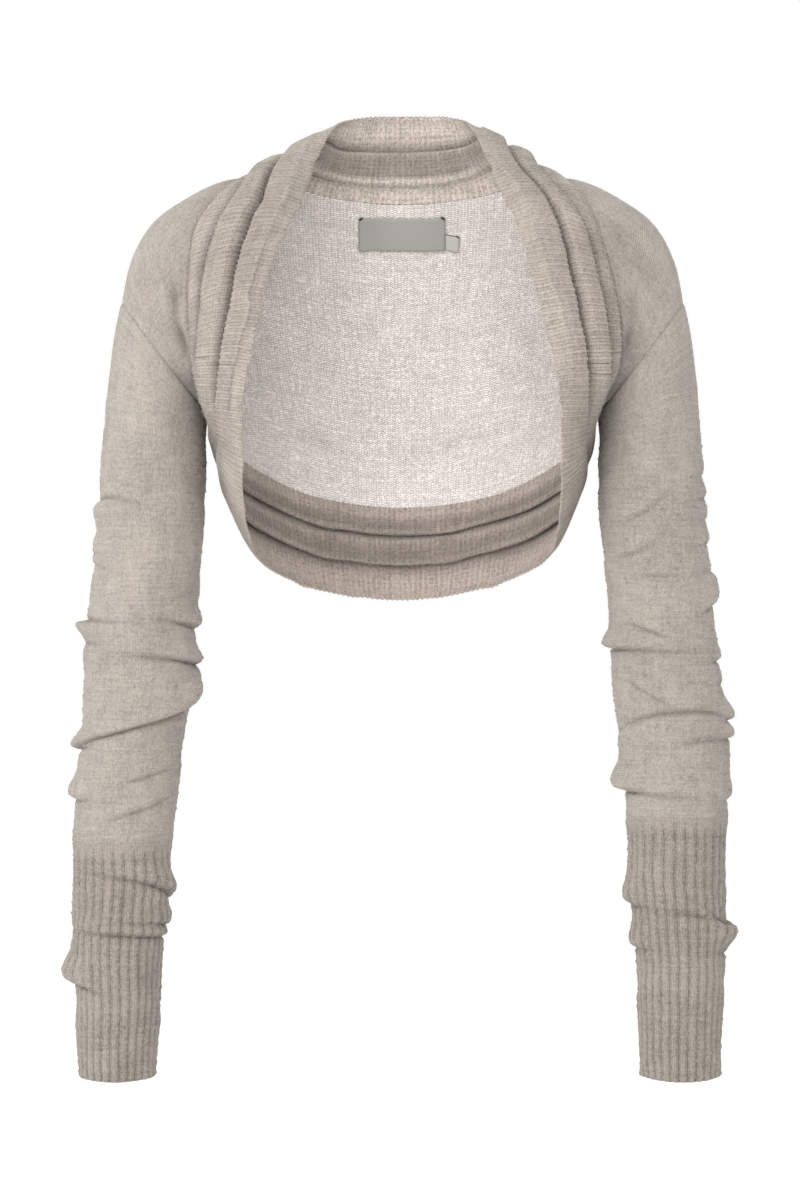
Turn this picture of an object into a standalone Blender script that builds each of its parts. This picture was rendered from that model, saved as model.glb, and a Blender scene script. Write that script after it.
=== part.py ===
"""A knitted shrug, filled out with no wearer: back and front panels, slouched sleeves with rib cuffs,
and one wide pleated rib band that runs round the neck, down both fronts and round the back hem.

Metres, +Z up. The front faces -Y and the wearer's left is +X. The origin lies on the seam at the
centre of the nape, where the band is sewn to the back panel and the garment hangs.
"""

import math

import bmesh
import bpy
import numpy as np
from mathutils import Vector
from mathutils.bvhtree import BVHTree

MM = 0.001
WALL = 1.4  # mm, the cloth's thickness
GAP = 0.3  # mm between pieces at a seam
AXIS_Y = -70.0  # mm, the plane through both arms and the sides of the body
SIDES = {"right": -1, "left": 1}  # the wearer's sides, as signs of x

RIBS_ROUND_CUFF = 28
RIB_HEIGHT = 1.1  # mm
LABEL = {"x": (-34.0, 33.0), "z": (-35.0, -11.0), "thick": 1.0}
SIZE_TAB = {"x": (33.5, 44.0), "z": (-34.0, -23.0), "thick": 0.8}


def table(text):
    """Columns by name, from a header line and one line for each row. The first column names the row."""
    header, *rows = [line.split() for line in text.strip().splitlines()]
    return {name: np.array([float(r[i]) for r in rows]) for i, name in enumerate(header) if i}


# Shoulder line, from the neck to the top of the armhole. Millimetres; x is measured outwards.
SHOULDER = table("""
place        x      y      z
neck       109    -42     15
slope      129    -56     14
slope      146    -65      6
slope      166    -69     -4
slope      184    -70    -16
slope      196    -70    -30
drop       206    -70    -51
armhole    213    -70    -83
""")

# Armhole loop: an ellipse in a tilted plane, from the outside of the arm down to the underarm.
ARMHOLE = {"x": 182.0, "z": -123.5, "half_length": 51.0, "half_depth": 55.0, "tilt": 52.9}
ARMHOLE_FACING = {"outward": 0.35, "depth": 1.2, "upward": 0.25}  # which way the cloth faces there
RING = 22  # points round a sleeve
LAST_ROW = 10  # how many of them the front and the back panel each reach, before the underarm
SHOULDER_POINTS = 6  # along the shoulder line
FRONT_CORNER = 4.0  # mm, the front panel's width at its lower tip
UNDERARM_GAP = 1.5  # mm more between the sleeve and the body where they turn away from each other
CUFF_RINGS = 11

# Centre line of the back panel, from the nape to the hem seam.
SPINE = table("""
place        z      y
nape         0      0
upper      -30     11
blades     -82     24
blades    -133     31
lower     -184     31
hem       -236     28
""")

# The rib band at its stations from the nape to the middle of the back hem: where it is sewn on
# (seam) and its free edge, for the wearer's right (r) and left (l), and how far it bows out.
BAND = table("""
station     seam_y edge_y  bow | seam_xr seam_zr edge_xr edge_zr | seam_xl seam_zl edge_xl edge_zl
nape            0    -14    4  |      0       0       0      66  |      0       0       0      66
nape_side      -4    -26    2  |     56       5      41      62  |     56       5      41      63
neck_side     -42    -58    4  |    109      15      57      46  |    109      15      55      49
collarbone    -84    -90    7  |    137      -2      69      15  |    133       0      66      20
front        -105   -114    9  |    155     -27      77     -12  |    143     -20      75      -5
front        -119   -134    9  |    159     -52      88     -35  |    149     -41      85     -28
front        -127   -151    9  |    160     -84     100     -67  |    156     -68      94     -62
front        -130   -163    9  |    158    -112     107    -105  |    162    -101     105    -104
joint        -127   -169    8  |    157    -132     114    -139  |    162    -130     113    -139
front        -113   -168    7  |    154    -149     118    -165  |    156    -148     116    -161
armhole       -86   -157    6  |    147.5  -163     118    -197  |    147.5  -163     117    -190
armhole       -54   -132    6  |    146    -168     119    -229  |    146    -168     118    -224
side          -22    -97    6  |    140    -182     116    -258  |    140    -182     117    -254
side_back       3    -60    5  |    124    -201     106    -280  |    124    -201     110    -276
hem            20    -18    4  |     83    -223      76    -297  |     83    -223      79    -294
hem            26      3    4  |     41    -233      39    -305  |     41    -233      39    -304
hem            28      9    4  |      0    -236       0    -308  |      0    -236       0    -308
""".replace("|", " "))
COLLAR_STATIONS = [0, 0.5, 1, 1.5, 2, 2.75, 3.5, 4.25, 5, 6, 7, 8]
HEM_STATIONS = [8, 9, 9.5, 10, 10.5, 11, 11.6, 12.2, 12.8, 13.4, 14, 14.5, 15, 15.5, 16]
NECK_SIDE, ARMHOLE_FRONT, ARMHOLE_BACK = 2, 10, 11  # stations at the corners of the panels

# The band's two lengthwise pleats at the same stations: middle, as a share of the way from the seam
# to the free edge on the wearer's right (r) and left (l), how far its layers overlap and how high
# they stand.
PLEATS = table("""
station      b_at_r b_at_l b_deep b_high  a_at_r a_at_l a_deep a_high
nape          0.16   0.16     6     6      0.42   0.42    23      9
nape_side     0.17   0.19     6     6      0.44   0.48    21      9
neck_side     0.23   0.42     7     7      0.68   0.78    13      9
collarbone    0.39   0.54     8     8      0.70   0.81    12      9
front         0.40   0.45    10     9      0.74   0.72    12      9
front         0.36   0.34    10     9      0.75   0.68    12      9
front         0.34   0.35    10     8      0.76   0.70    12      9
front         0.33   0.37     9     8      0.76   0.73    11      9
joint         0.32   0.36     8     8      0.75   0.73    10      9
front         0.31   0.34     8     7      0.74   0.73    10      8
armhole       0.31   0.33     7     6      0.69   0.69    10      8
armhole       0.32   0.32     7     6      0.63   0.63    11      8
side          0.28   0.28     8     6      0.58   0.58    13      8
side_back     0.22   0.22    11     7      0.52   0.52    15      8
hem           0.20   0.20    12     8      0.50   0.50    17      9
hem           0.20   0.20    13     8      0.50   0.50    18      9
hem           0.20   0.20    13     8      0.50   0.50    18      9
""")

PLEAT_ROOM = 1.2  # mm from a pleat's folds to the valley and the crest beside it
EDGE_ROLL = 8.0  # mm from the free edge to where the band starts to turn in

# Sleeve sections from the armhole to the sleeve's end, then the cuff's.
SLEEVE = table("""
section      z     x_r   wide_r     x_l   wide_l      y   deep   tilt
armhole   -123.5  182     51      182      51       -70    55    52.9
upper     -150    185     42      185      42       -70    53    31
upper     -176    187.5   38.5    187.5    38       -70    51    13
upper     -203    189     39      188      38.5     -70    49     3
upper     -247    191     39.5    190      39.5     -69    47     0
upper     -293    195     40      195      39       -68    45     0
elbow     -338    200     41.5    198.5    39.5     -67    44     0
elbow     -369    200.5   41.5    201      40.5     -68    43     0
fore      -399    204     38.5    204.5    41       -70    42     0
fore      -430    207.5   38      206.5    40.5     -73    40     0
fore      -460    210     38      207.5    38       -76    39     0
rib       -491    212     36.5    207.5    36.5     -80    37     0
""")
CUFF = table("""
section      z     x_r   wide_r     x_l   wide_l      y   deep   tilt
rib       -471    211     37.3    207.5    37.3     -77    38.2   0
rib       -491    212     36.5    207.5    36.5     -80    37     0
rib       -520    212     35.8    207      36       -84    35.5   0
rib       -549    213.6   34.5    209      34.8     -88    34     0
rib       -580    215     32.7    210      32.7     -92    32     0
rib       -609    214     31      209.5    31.5     -95    30     0
rib       -640    214.8   30      209      30.3     -98    28.5   0
end       -667    214.6   28      209      29       -101   27     0
""")
RIB_START = {"right": -490.0, "left": -471.0}
CUFF_END = -666.0

# Slouch folds. A fold is a roll with a crease under it: its height z at the angle at (0 outside of the
# arm, 90 back, 180 towards the body, 270 front), half its spread round the arm, its rise over 90
# degrees, how far it stands out and half its height.
FOLDS_RIGHT = table("""
fold         z     at   spread  rise   out   tall
light      -239   355    70      6     3      8
light      -260    20    70     -8     3      8
elbow      -314   180    90     10     6      8
elbow      -334     0   120     -8     9      9
elbow      -349   185    80      6     7      7
elbow      -367   180    90     12     7      8
elbow      -374    10    90     -8     4      8
fore       -414     0   130    -14    10      9
fore       -448   350    90    -10     7      9
fore       -444   150    80     10     4      9
""")
FOLDS_LEFT = table("""
fold         z     at   spread  rise   out   tall
light      -244   180    80     12     4      8
light      -276   180    80     10     4      8
light      -296     0    80     -8     5      9
elbow      -319     0    80     -8     4      8
elbow      -335   180   100      8     6      8
elbow      -349   350   100    -10     6      8
elbow      -364     0    80     -6     5      7
fore       -393     5   130    -12     9      9
fore       -408   340    90     -6     5      7
fore       -426     0    90     -8     5      8
fore       -446   180   100     10     5      9
""")
CUFF_FOLDS_RIGHT = table("""
fold         z     at   spread  rise   out   tall
slouch     -516   200   150     14     6      8
slouch     -539   355   110     -6     4      7
slouch     -558   200   170      8     6      8
slouch     -585     0    90     -8     7      9
""")
CUFF_FOLDS_LEFT = table("""
fold         z     at   spread  rise   out   tall
slouch     -519   180   100      8     5      9
slouch     -555     5   110     -8     8      9
slouch     -553   180    90      8     5      8
""")

COLOURS = {
    "panel": (0.53, 0.47, 0.41),
    "rib": (0.50, 0.44, 0.38),
    "label": (0.42, 0.44, 0.38),
}


def curve(knots, values, at):
    """A smooth curve through values (one row or number for each knot), read at the places given."""
    knots, at = np.asarray(knots, float), np.asarray(at, float)
    values = np.asarray(values, float).reshape(len(knots), -1)
    steps = np.diff(knots)[:, None]
    slopes = np.diff(values, axis=0) / steps
    inner = (slopes[:-1] * steps[1:] + slopes[1:] * steps[:-1]) / (steps[1:] + steps[:-1])
    ends = np.vstack([slopes[:1], inner, slopes[-1:]])
    i = np.clip(np.searchsorted(knots, at, side="right") - 1, 0, len(knots) - 2)
    h = np.diff(knots)[i][:, None]
    s = ((at - knots[i])[:, None]) / h
    return (
        (2 * s**3 - 3 * s**2 + 1) * values[i]
        + (s**3 - 2 * s**2 + s) * h * ends[i]
        + (3 * s**2 - 2 * s**3) * values[i + 1]
        + (s**3 - s**2) * h * ends[i + 1]
    )


def unit(v):
    return v / np.maximum(np.linalg.norm(v, axis=-1, keepdims=True), 1e-9)


def length_along(points):
    """How far along an open line of points each one lies, as a share of its length."""
    steps = np.linalg.norm(np.diff(points, axis=0), axis=1)
    return np.concatenate([[0], np.cumsum(steps)]) / steps.sum()


def mirrored(x, y, z, side):
    return np.stack([np.asarray(x) * SIDES[side], y, z], axis=-1)


def shoulder_line(side, at):
    """Points from the neck (0) to the armhole (1)."""
    points = mirrored(SHOULDER["x"], SHOULDER["y"], SHOULDER["z"], side)
    return curve(length_along(points), points, at)


def armhole_loop(side, degrees):
    """Points on the armhole: 0 outside the arm, 90 at the back, 180 at the underarm, 270 in front."""
    a = np.radians(degrees)
    tilt = math.radians(ARMHOLE["tilt"])
    out, up = ARMHOLE["half_length"] * math.cos(tilt), ARMHOLE["half_length"] * math.sin(tilt)
    x = ARMHOLE["x"] + out * np.cos(a)
    y = AXIS_Y + ARMHOLE["half_depth"] * np.sin(a)
    z = ARMHOLE["z"] + up * np.cos(a)
    return mirrored(x, y, z, side)


def armhole_normal(side, degrees):
    """The cloth's outward direction on the armhole, shared by what is sewn there above the underarm."""
    a = np.radians(degrees)
    outward = np.clip(np.cos(a) + ARMHOLE_FACING["outward"], 0, 1)
    depth, upward = ARMHOLE_FACING["depth"] * np.sin(a), ARMHOLE_FACING["upward"] * outward
    return unit(np.stack([SIDES[side] * outward, depth, upward], axis=-1))


def underarm_share(degrees):
    """1 at the underarm, where the sleeve and the body turn away from each other, down to 0 halfway up."""
    return np.clip(-np.cos(np.radians(degrees)), 0, 1)[:, None] ** 3


def near_underarm(shared, own, degrees):
    share = underarm_share(degrees)
    return unit(shared * (1 - share) + own * share)


def band_curve(values, at):
    """A smooth curve through points or numbers at the band's stations. It goes on into the garment's
    other half at both ends, so that the halves meet there without a corner."""
    values = np.asarray(values, float).reshape(len(values), -1)
    values = np.pad(values, ((1, 1), (0, 0)), mode="reflect")
    if values.shape[1] == 3:  # points, whose x changes sign in the other half
        values[[0, -1], 0] *= -1
    return curve(np.arange(-1, len(values) - 1), values, at)


def band_rails(side, at):
    """Seam and free edge of the band at stations counted from the nape, with the bow between them."""
    s = side[0]
    seam = mirrored(BAND[f"seam_x{s}"], BAND["seam_y"], BAND[f"seam_z{s}"], side)
    edge = mirrored(BAND[f"edge_x{s}"], BAND["edge_y"], BAND[f"edge_z{s}"], side)
    return band_curve(seam, at), band_curve(edge, at), band_curve(BAND["bow"], at)


def pleat_path(width, pleats):
    """Across the band from its seam to its free edge: how far along, and how far out. Each pleat is a
    valley, an S of two round folds and a crest, so that its outer layer hangs over the inner one
    towards the seam."""
    path = [(0.0, 0.0)]
    turn = np.radians([-90, -30, 30, 90])
    for middle, deep, high in pleats:
        fold, centre = high / 4, middle * width
        reach = deep / 2 - fold
        path.append((centre - deep / 2 - PLEAT_ROOM, -high / 2))
        path += zip(centre + reach + fold * np.cos(turn), fold * np.sin(turn) - high / 4)
        path += zip(centre - reach - fold * np.cos(turn), fold * np.sin(turn) + high / 4)
        path.append((centre + deep / 2 + PLEAT_ROOM, high * 0.4))
    roll = max(width - EDGE_ROLL, path[-1][0] + PLEAT_ROOM)
    path += [(roll, high * 0.25), (width, 0.0)]
    return np.array(path).T


def band_strip(side, stations):
    """Points across and along the band at the stations, their outward directions and the seam's."""
    stations = np.array(stations, float)
    seam, edge, bow = band_rails(side, stations)
    ahead, behind = band_rails(side, stations + 0.02), band_rails(side, stations - 0.02)
    seam_run, edge_run = unit(ahead[0] - behind[0]), unit(ahead[1] - behind[1])
    pleat = {k: band_curve(v, stations)[:, 0] for k, v in PLEATS.items()}
    points, normals = [], []
    for i in range(len(stations)):
        across = edge[i] - seam[i]
        width = np.linalg.norm(across)
        pleats = [(pleat[f"{k}_at_{side[0]}"][i], pleat[f"{k}_deep"][i], pleat[f"{k}_high"][i]) for k in "ba"]
        along, out = pleat_path(width, pleats)
        v = (along / width)[:, None]
        run = unit(seam_run[i] * (1 - v) + edge_run[i] * v)
        flat = unit(np.cross(run, across)) * -SIDES[side]
        slope = unit(across / width + flat * bow[i] / width * 4 * (1 - 2 * v))
        normal = unit(np.cross(run, slope)) * -SIDES[side]
        points.append(seam[i] + across * v + flat * bow[i] * 4 * v * (1 - v) + normal * out[:, None])
        rise = unit(np.stack([np.gradient(along), np.gradient(out)], axis=-1))
        tilted = unit(normal * rise[:, :1] - slope * rise[:, 1:])
        tilted[0] = normal[0]
        normals.append(tilted)
    return np.array(points), np.array(normals)


def grid_normals(points, loop=False):
    """Outward directions of a grid's points, from the differences between neighbours."""
    if loop:
        run = np.roll(points, -1, axis=1) - np.roll(points, 1, axis=1)
    else:
        run = np.gradient(points, axis=1)
    return unit(np.cross(run, np.gradient(points, axis=0)))


def wall(name, colour, inner, outer, loop=False):
    """One closed solid between two grids of points with the same rows and columns, in millimetres."""
    rows, columns = inner.shape[:2]
    mesh = bmesh.new()
    layers = [[[mesh.verts.new(Vector(p) * MM) for p in row] for row in grid] for grid in (inner, outer)]
    spans = [(j, (j + 1) % columns) for j in range(columns if loop else columns - 1)]
    for i in range(rows - 1):
        for j, k in spans:
            for layer, turn in zip(layers, (1, -1)):
                mesh.faces.new([layer[i][j], layer[i][k], layer[i + 1][k], layer[i + 1][j]][::turn])
    ends = [(i, spans) for i in (0, rows - 1)]
    for i, pairs in ends:
        for j, k in pairs:
            mesh.faces.new([layers[0][i][j], layers[0][i][k], layers[1][i][k], layers[1][i][j]])
    if not loop:
        for j in (0, columns - 1):
            for i in range(rows - 1):
                mesh.faces.new([layers[0][i][j], layers[0][i + 1][j], layers[1][i + 1][j], layers[1][i][j]])
    bmesh.ops.recalc_face_normals(mesh, faces=mesh.faces)
    bmesh.ops.triangulate(mesh, faces=mesh.faces)
    return finish(name, colour, mesh)


def finish(name, colour, mesh):
    data = bpy.data.meshes.new(name)
    mesh.to_mesh(data)
    mesh.free()
    data.shade_smooth()
    data.materials.append(material(colour))
    obj = bpy.data.objects.new(name, data)
    collection().objects.link(obj)
    return obj


def collection():
    found = bpy.data.collections.get("knitted_shrug")
    if not found:
        found = bpy.data.collections.new("knitted_shrug")
        bpy.context.scene.collection.children.link(found)
    return found


def material(colour):
    found = bpy.data.materials.get(colour)
    if not found:
        found = bpy.data.materials.new(colour)
        found.use_nodes = True
        shader = found.node_tree.nodes["Principled BSDF"]
        shader.inputs["Base Color"].default_value = (*COLOURS[colour], 1)
        shader.inputs["Roughness"].default_value = 0.9
        shader.inputs["Metallic"].default_value = 0.0
    return found


def cloth(name, colour, middle, normals, loop=False):
    return wall(name, colour, middle - normals * WALL / 2, middle + normals * WALL / 2, loop)


def inset(points, ends=(True, True), sides=(True, True)):
    """Draws a grid's border in by half a seam's gap, so that neighbours end up a gap apart."""
    points = points.copy()
    for axis, flags in ((0, ends), (1, sides)):
        grid = points if axis == 0 else points.transpose(1, 0, 2)
        for flag, i, k in ((flags[0], 0, 1), (flags[1], -1, -2)):
            if flag:
                grid[i] += unit(grid[k] - grid[i]) * GAP / 2
    return points


def blend_patch(top, bottom, first, last, fade=1.0):
    """Coons patch: rows run from first to last, from the top line down to the bottom line. With a
    larger fade, those two lines bend fewer of the rows between them."""
    p = np.linspace(0, 1, len(first))[:, None, None]
    q = np.linspace(0, 1, len(top))[None, :, None]
    rows = (1 - q) * first[:, None] + q * last[:, None]
    for line, share in ((top, (1 - p) ** fade), (bottom, p**fade)):
        rows = rows + share * (line - (1 - q) * line[0] - q * line[-1])
    return rows


def ring_degrees():
    return np.arange(RING) * 360 / RING


def facing(normals, like):
    """Turns all of a grid's directions round if they face away from a border's known ones."""
    return normals if np.sum(normals[1, :, 1] * like) > 0 else -normals


def toward(line, target, power):
    """Draws a line's end over to a target point, and the rest of the line less and less."""
    share = np.linspace(0, 1, len(line))[:, None] ** power
    return line + share * (target - line[-1])


def shoulder_normals(side, at):
    run = shoulder_line(side, at + 0.02) - shoulder_line(side, at - 0.02)
    return unit(np.cross(run, [0, SIDES[side], 0]))


def back_half(side):
    """Back panel from the spine to the armhole, from the neck and shoulder down to the hem seam:
    its points and directions, and the band's stations along its top and bottom."""
    neck = [s for s in COLLAR_STATIONS if s <= NECK_SIDE]
    hem = [s for s in HEM_STATIONS[::-1] if s >= ARMHOLE_BACK]
    shoulder = shoulder_line(side, np.linspace(0, 1, SHOULDER_POINTS))
    top = np.concatenate([band_rails(side, neck)[0][:-1], shoulder])
    bottom = band_rails(side, hem)[0]
    spine = np.stack([SPINE["z"] * 0, SPINE["y"], SPINE["z"]], axis=-1)
    first = curve(length_along(spine), spine, np.linspace(0, 1, LAST_ROW + 1))
    armhole = toward(armhole_loop(side, ring_degrees()[: LAST_ROW + 1]), bottom[-1], 6)
    points = blend_patch(top, bottom, first, armhole)
    return points, facing(grid_normals(points), like=1), neck, hem


def front_half(side):
    """Front panel: rows from the band's seam to the armhole, from the shoulder down to the underarm."""
    stations = [s for s in COLLAR_STATIONS + HEM_STATIONS[1:] if NECK_SIDE <= s <= ARMHOLE_FRONT]
    seam, share = band_rails(side, stations)[0], np.linspace(0, 1, SHOULDER_POINTS)
    corner = seam[-1] + [SIDES[side] * FRONT_CORNER, 0, 0]
    bottom = seam[-1] + (corner - seam[-1]) * share[:, None]
    armhole = toward(armhole_loop(side, 360 - ring_degrees()[: LAST_ROW + 1]), corner, 6)
    points = blend_patch(shoulder_line(side, share), bottom, seam, armhole, fade=3)
    return points, facing(grid_normals(points), like=-1), stations


def seam_directions(side):
    """The outward direction on the band's seam at each station: the mean of the pieces that meet there."""
    found = {}
    for stations in (COLLAR_STATIONS, HEM_STATIONS):
        for station, normal in zip(stations, band_strip(side, stations)[1][:, 0]):
            found[station] = normal
    _, back, neck, hem = back_half(side)
    _, front, stations = front_half(side)
    pieces = [(neck, back[0]), (hem, back[-1]), (stations, front[:, 0])]
    for stations, normals in pieces:
        for station, normal in zip(stations, normals):
            found[station] = found[station] + normal
    return {station: unit(normal) for station, normal in found.items()}


def make_band(name, stations, middle, seams):
    """Collar or hem half of the band, across the station in the middle of the garment's back."""
    halves = []
    for side in SIDES:
        points, normals = band_strip(side, stations)
        normals[:, 0] = [seams[side][s] for s in stations]
        halves.append((points, normals))
    if middle == 0:
        points, normals = (np.concatenate([r[:0:-1], l]) for r, l in zip(*halves))
    else:
        points, normals = (np.concatenate([r[:-1], l[::-1]]) for r, l in zip(*halves))
    return cloth(name, "rib", inset(points, sides=(True, False)), normals)


def make_back(seams):
    halves = []
    for side in SIDES:
        points, normals, neck, hem = back_half(side)
        degrees = ring_degrees()[: LAST_ROW + 1]
        normals[0, len(neck) :] = shoulder_normals(side, np.linspace(0, 1, SHOULDER_POINTS)[1:])
        normals[0, : len(neck)] = [seams[side][s] for s in neck]
        normals[-1] = [seams[side][s] for s in hem]
        normals[:, -1] = near_underarm(armhole_normal(side, degrees), normals[-1, -1], degrees)
        halves.append((points, normals))
    points, normals = (np.concatenate([right[:, :0:-1], left], axis=1) for right, left in zip(*halves))
    return cloth("back", "panel", inset(points), normals)


def make_front(side, seams):
    points, normals, stations = front_half(side)
    degrees = 360 - ring_degrees()[: LAST_ROW + 1]
    normals[0] = shoulder_normals(side, np.linspace(0, 1, SHOULDER_POINTS))
    normals[:, 0] = [seams[side][s] for s in stations]
    normals[:, -1] = near_underarm(armhole_normal(side, degrees), normals[:, 0], degrees)
    return cloth(f"front_{side}", "panel", inset(points), normals)


def fold_offset(folds, z, degrees):
    """How far the slouch folds push the cloth out at a height and an angle round the arm."""
    total = np.zeros(np.broadcast(z, degrees).shape)
    for i in range(len(folds["z"])):
        turn = (degrees - folds["at"][i] + 180) % 360 - 180
        reach = np.clip(np.abs(turn) / folds["spread"][i], 0, 1)
        share = np.cos(reach * math.pi / 2) ** 2
        up = (z - folds["z"][i] - folds["rise"][i] * np.abs(turn) / 90) / folds["tall"][i]
        total += folds["out"][i] * share * (np.exp(-(up**2)) - 0.6 * np.exp(-(((up + 1.7) / 0.8) ** 2)))
    return total


def tube_rings(sections, folds, side, heights, degrees):
    """Rings of points round the arm at the heights given, with their outward directions."""
    s = side[0]
    knots = -sections["z"]
    column = {k: curve(knots, v, -heights)[:, 0][:, None] for k, v in sections.items()}
    a, tilt = np.radians(degrees)[None], np.radians(column["tilt"])
    wide, deep = column[f"wide_{s}"], column["deep"]
    x_out, z_out = np.cos(a) * np.cos(tilt), np.cos(a) * np.sin(tilt)
    centre = np.stack([column[f"x_{s}"] + 0 * a, column["y"] + 0 * a, heights[:, None] + 0 * a], axis=-1)
    spoke = np.stack([wide * x_out, deep * np.sin(a), wide * z_out], axis=-1)
    points = centre + spoke
    radial = unit(np.stack([np.cos(a) / wide + 0 * deep, np.sin(a) / deep + 0 * wide, 0 * a * deep], axis=-1))
    push = fold_offset(folds, points[..., 2], np.asarray(degrees, float)[None])
    points = points + radial * push[..., None]
    flip = np.array([SIDES[side], 1, 1])
    return points * flip, radial * flip


def make_sleeve(side, folds):
    degrees = ring_degrees()
    fan = np.array([ARMHOLE["z"], -137, -150, -163, -176, -190])
    heights = np.concatenate([fan, np.linspace(-205, RIB_START[side] + GAP / 2, 26)])
    points, radial = tube_rings(SLEEVE, folds, side, heights, degrees)
    under = underarm_share(degrees)
    points[0] = armhole_loop(side, degrees)
    points[0] += unit(points[1] - points[0]) * (GAP / 2 + UNDERARM_GAP * under)
    normals = grid_normals(points, loop=True)
    if np.sum(normals * radial) < 0:
        normals = -normals
    normals[0] = near_underarm(armhole_normal(side, degrees), radial[0], degrees)
    normals[-1] = radial[-1]
    return cloth(f"sleeve_{side}", "panel", points, normals, loop=True)


def make_cuff(side, folds):
    """Rib cuff: the ribs stand up on the outside, over a plain inside."""
    around = 2 * RIBS_ROUND_CUFF
    degrees = np.arange(around) * 360 / around
    heights = np.linspace(RIB_START[side] - GAP / 2, CUFF_END, CUFF_RINGS)
    points, radial = tube_rings(CUFF, folds, side, heights, degrees)
    raised = (np.arange(around) % 2 * RIB_HEIGHT)[None, :, None]
    inner = points - radial * WALL / 2
    outer = points + radial * (WALL / 2 + raised - RIB_HEIGHT / 2)
    return wall(f"cuff_{side}", "rib", inner, outer, loop=True)


def make_patch(name, size, back):
    """A label on the inside of the back panel, made from the panel's own points moved in."""
    depsgraph = bpy.context.evaluated_depsgraph_get()
    tree = BVHTree.FromObject(back, depsgraph)
    columns, rows = (9, 4) if name == "label" else (3, 3)
    xs, zs = np.linspace(*size["x"], columns), np.linspace(*size["z"], rows)
    near = np.zeros((rows, columns, 3))
    for i, z in enumerate(zs):
        for j, x in enumerate(xs):
            hit = tree.ray_cast(Vector((x, -100, z)) * MM, Vector((0, 1, 0)))[0]
            near[i, j] = (x, hit.y / MM - GAP, z)
    far = near - np.array([0, size["thick"], 0])
    return wall(name, "label", near, far)


def main():
    for obj in list(bpy.data.objects):
        bpy.data.objects.remove(obj)
    seams = {side: seam_directions(side) for side in SIDES}
    back = make_back(seams)
    for side in SIDES:
        make_front(side, seams)
    make_sleeve("right", FOLDS_RIGHT)
    make_sleeve("left", FOLDS_LEFT)
    make_cuff("right", CUFF_FOLDS_RIGHT)
    make_cuff("left", CUFF_FOLDS_LEFT)
    make_band("collar_band", COLLAR_STATIONS, 0, seams)
    make_band("hem_band", HEM_STATIONS, -1, seams)
    make_patch("label", LABEL, back)
    make_patch("size_tab", SIZE_TAB, back)


main()
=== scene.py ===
"""Looks of the knitted shrug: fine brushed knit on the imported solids' form, at a finer scale.

Metres in Blender, millimetres in the tables. +Z up, the front faces -Y and the wearer's left is +X.
Each cloth piece is a thin closed shell that stands for the solid of the same name.
"""

import math

import bmesh
import bpy
import numpy as np
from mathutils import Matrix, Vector
from mathutils.bvhtree import BVHTree


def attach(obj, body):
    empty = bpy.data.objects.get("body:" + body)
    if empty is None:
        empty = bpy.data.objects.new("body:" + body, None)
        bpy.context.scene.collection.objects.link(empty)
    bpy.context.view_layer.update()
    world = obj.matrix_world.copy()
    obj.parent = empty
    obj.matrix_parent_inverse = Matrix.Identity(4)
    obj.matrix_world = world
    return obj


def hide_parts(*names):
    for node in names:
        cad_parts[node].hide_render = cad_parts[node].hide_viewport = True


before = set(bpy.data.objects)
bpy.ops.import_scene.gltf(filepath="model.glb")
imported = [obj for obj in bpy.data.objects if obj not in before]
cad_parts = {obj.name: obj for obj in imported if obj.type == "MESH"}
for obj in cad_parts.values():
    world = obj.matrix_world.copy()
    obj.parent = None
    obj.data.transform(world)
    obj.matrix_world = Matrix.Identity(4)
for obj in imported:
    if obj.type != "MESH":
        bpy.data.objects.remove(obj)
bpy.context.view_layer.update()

MM = 0.001
WALL = 1.3  # mm, the cloth's thickness
AXIS_Y = -70.0  # mm, the plane through both arms and the sides of the body
SIDES = {"right": -1, "left": 1}  # the wearer's sides, as signs of x
LABEL = {"x": (-34.0, 33.0), "z": (-35.0, -11.0), "thick": 0.9, "off": 0.4}  # mm
SIZE_TAB = {"x": (33.5, 44.0), "z": (-34.0, -23.0), "thick": 0.7, "off": 0.5}  # mm

# Stitches and ribs.
WALE = 2.35  # mm, the width of a column of stitches
COURSE = 1.65  # mm, the height of a row of stitches
WALES_ROUND_SLEEVE = 112
BAND_RIB = 4.0  # mm between the ribs of the band
SECTIONS_A_RIB = 3  # along the band, so that each rib stands out of its folds as a small scallop
SCALLOP = 0.5  # mm
EDGE_SCALLOP = (0.1, 0.25, 0.45, 0.6)  # mm, over the last points before the free edge
RIBS_ROUND_CUFF = 28
POINTS_A_RIB = 7
RIB_HEIGHT = 1.2  # mm
RIB_FADE = 14.0  # mm over which the ribs rise at the top of a cuff
RIB_SHAPE = {"round": 0.55, "level": 0.7}  # broad ridges, and the part of them that is inside the solid
# A cuff's end: how many mm it sways up and down, by what share its ribs stand out more, and how many mm
# above the end each of these starts.
CUFF_RIM = {"sway": 1.0, "sway_from": 12.0, "ribs": 0.25, "ribs_from": 6.0}

# Sleeves and cuffs.
ARM_STEP = 1.6  # mm between the rings
SLEEVE_TOP = -190.0  # mm, where the rings have turned level below the armhole
RIB_START = {"right": -490.0, "left": -471.0}  # mm
CUFF_END = -666.0  # mm
FOLD_HANG = 0.3  # how far a roll hangs over its crease, as a share of how far it stands out
CREASE_WIDTH = 2.2  # mm
UNEVEN = 0.7  # mm of slow swelling
LUMPS = {"high": 0.65, "long": 8.0}  # mm, small lumps

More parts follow.
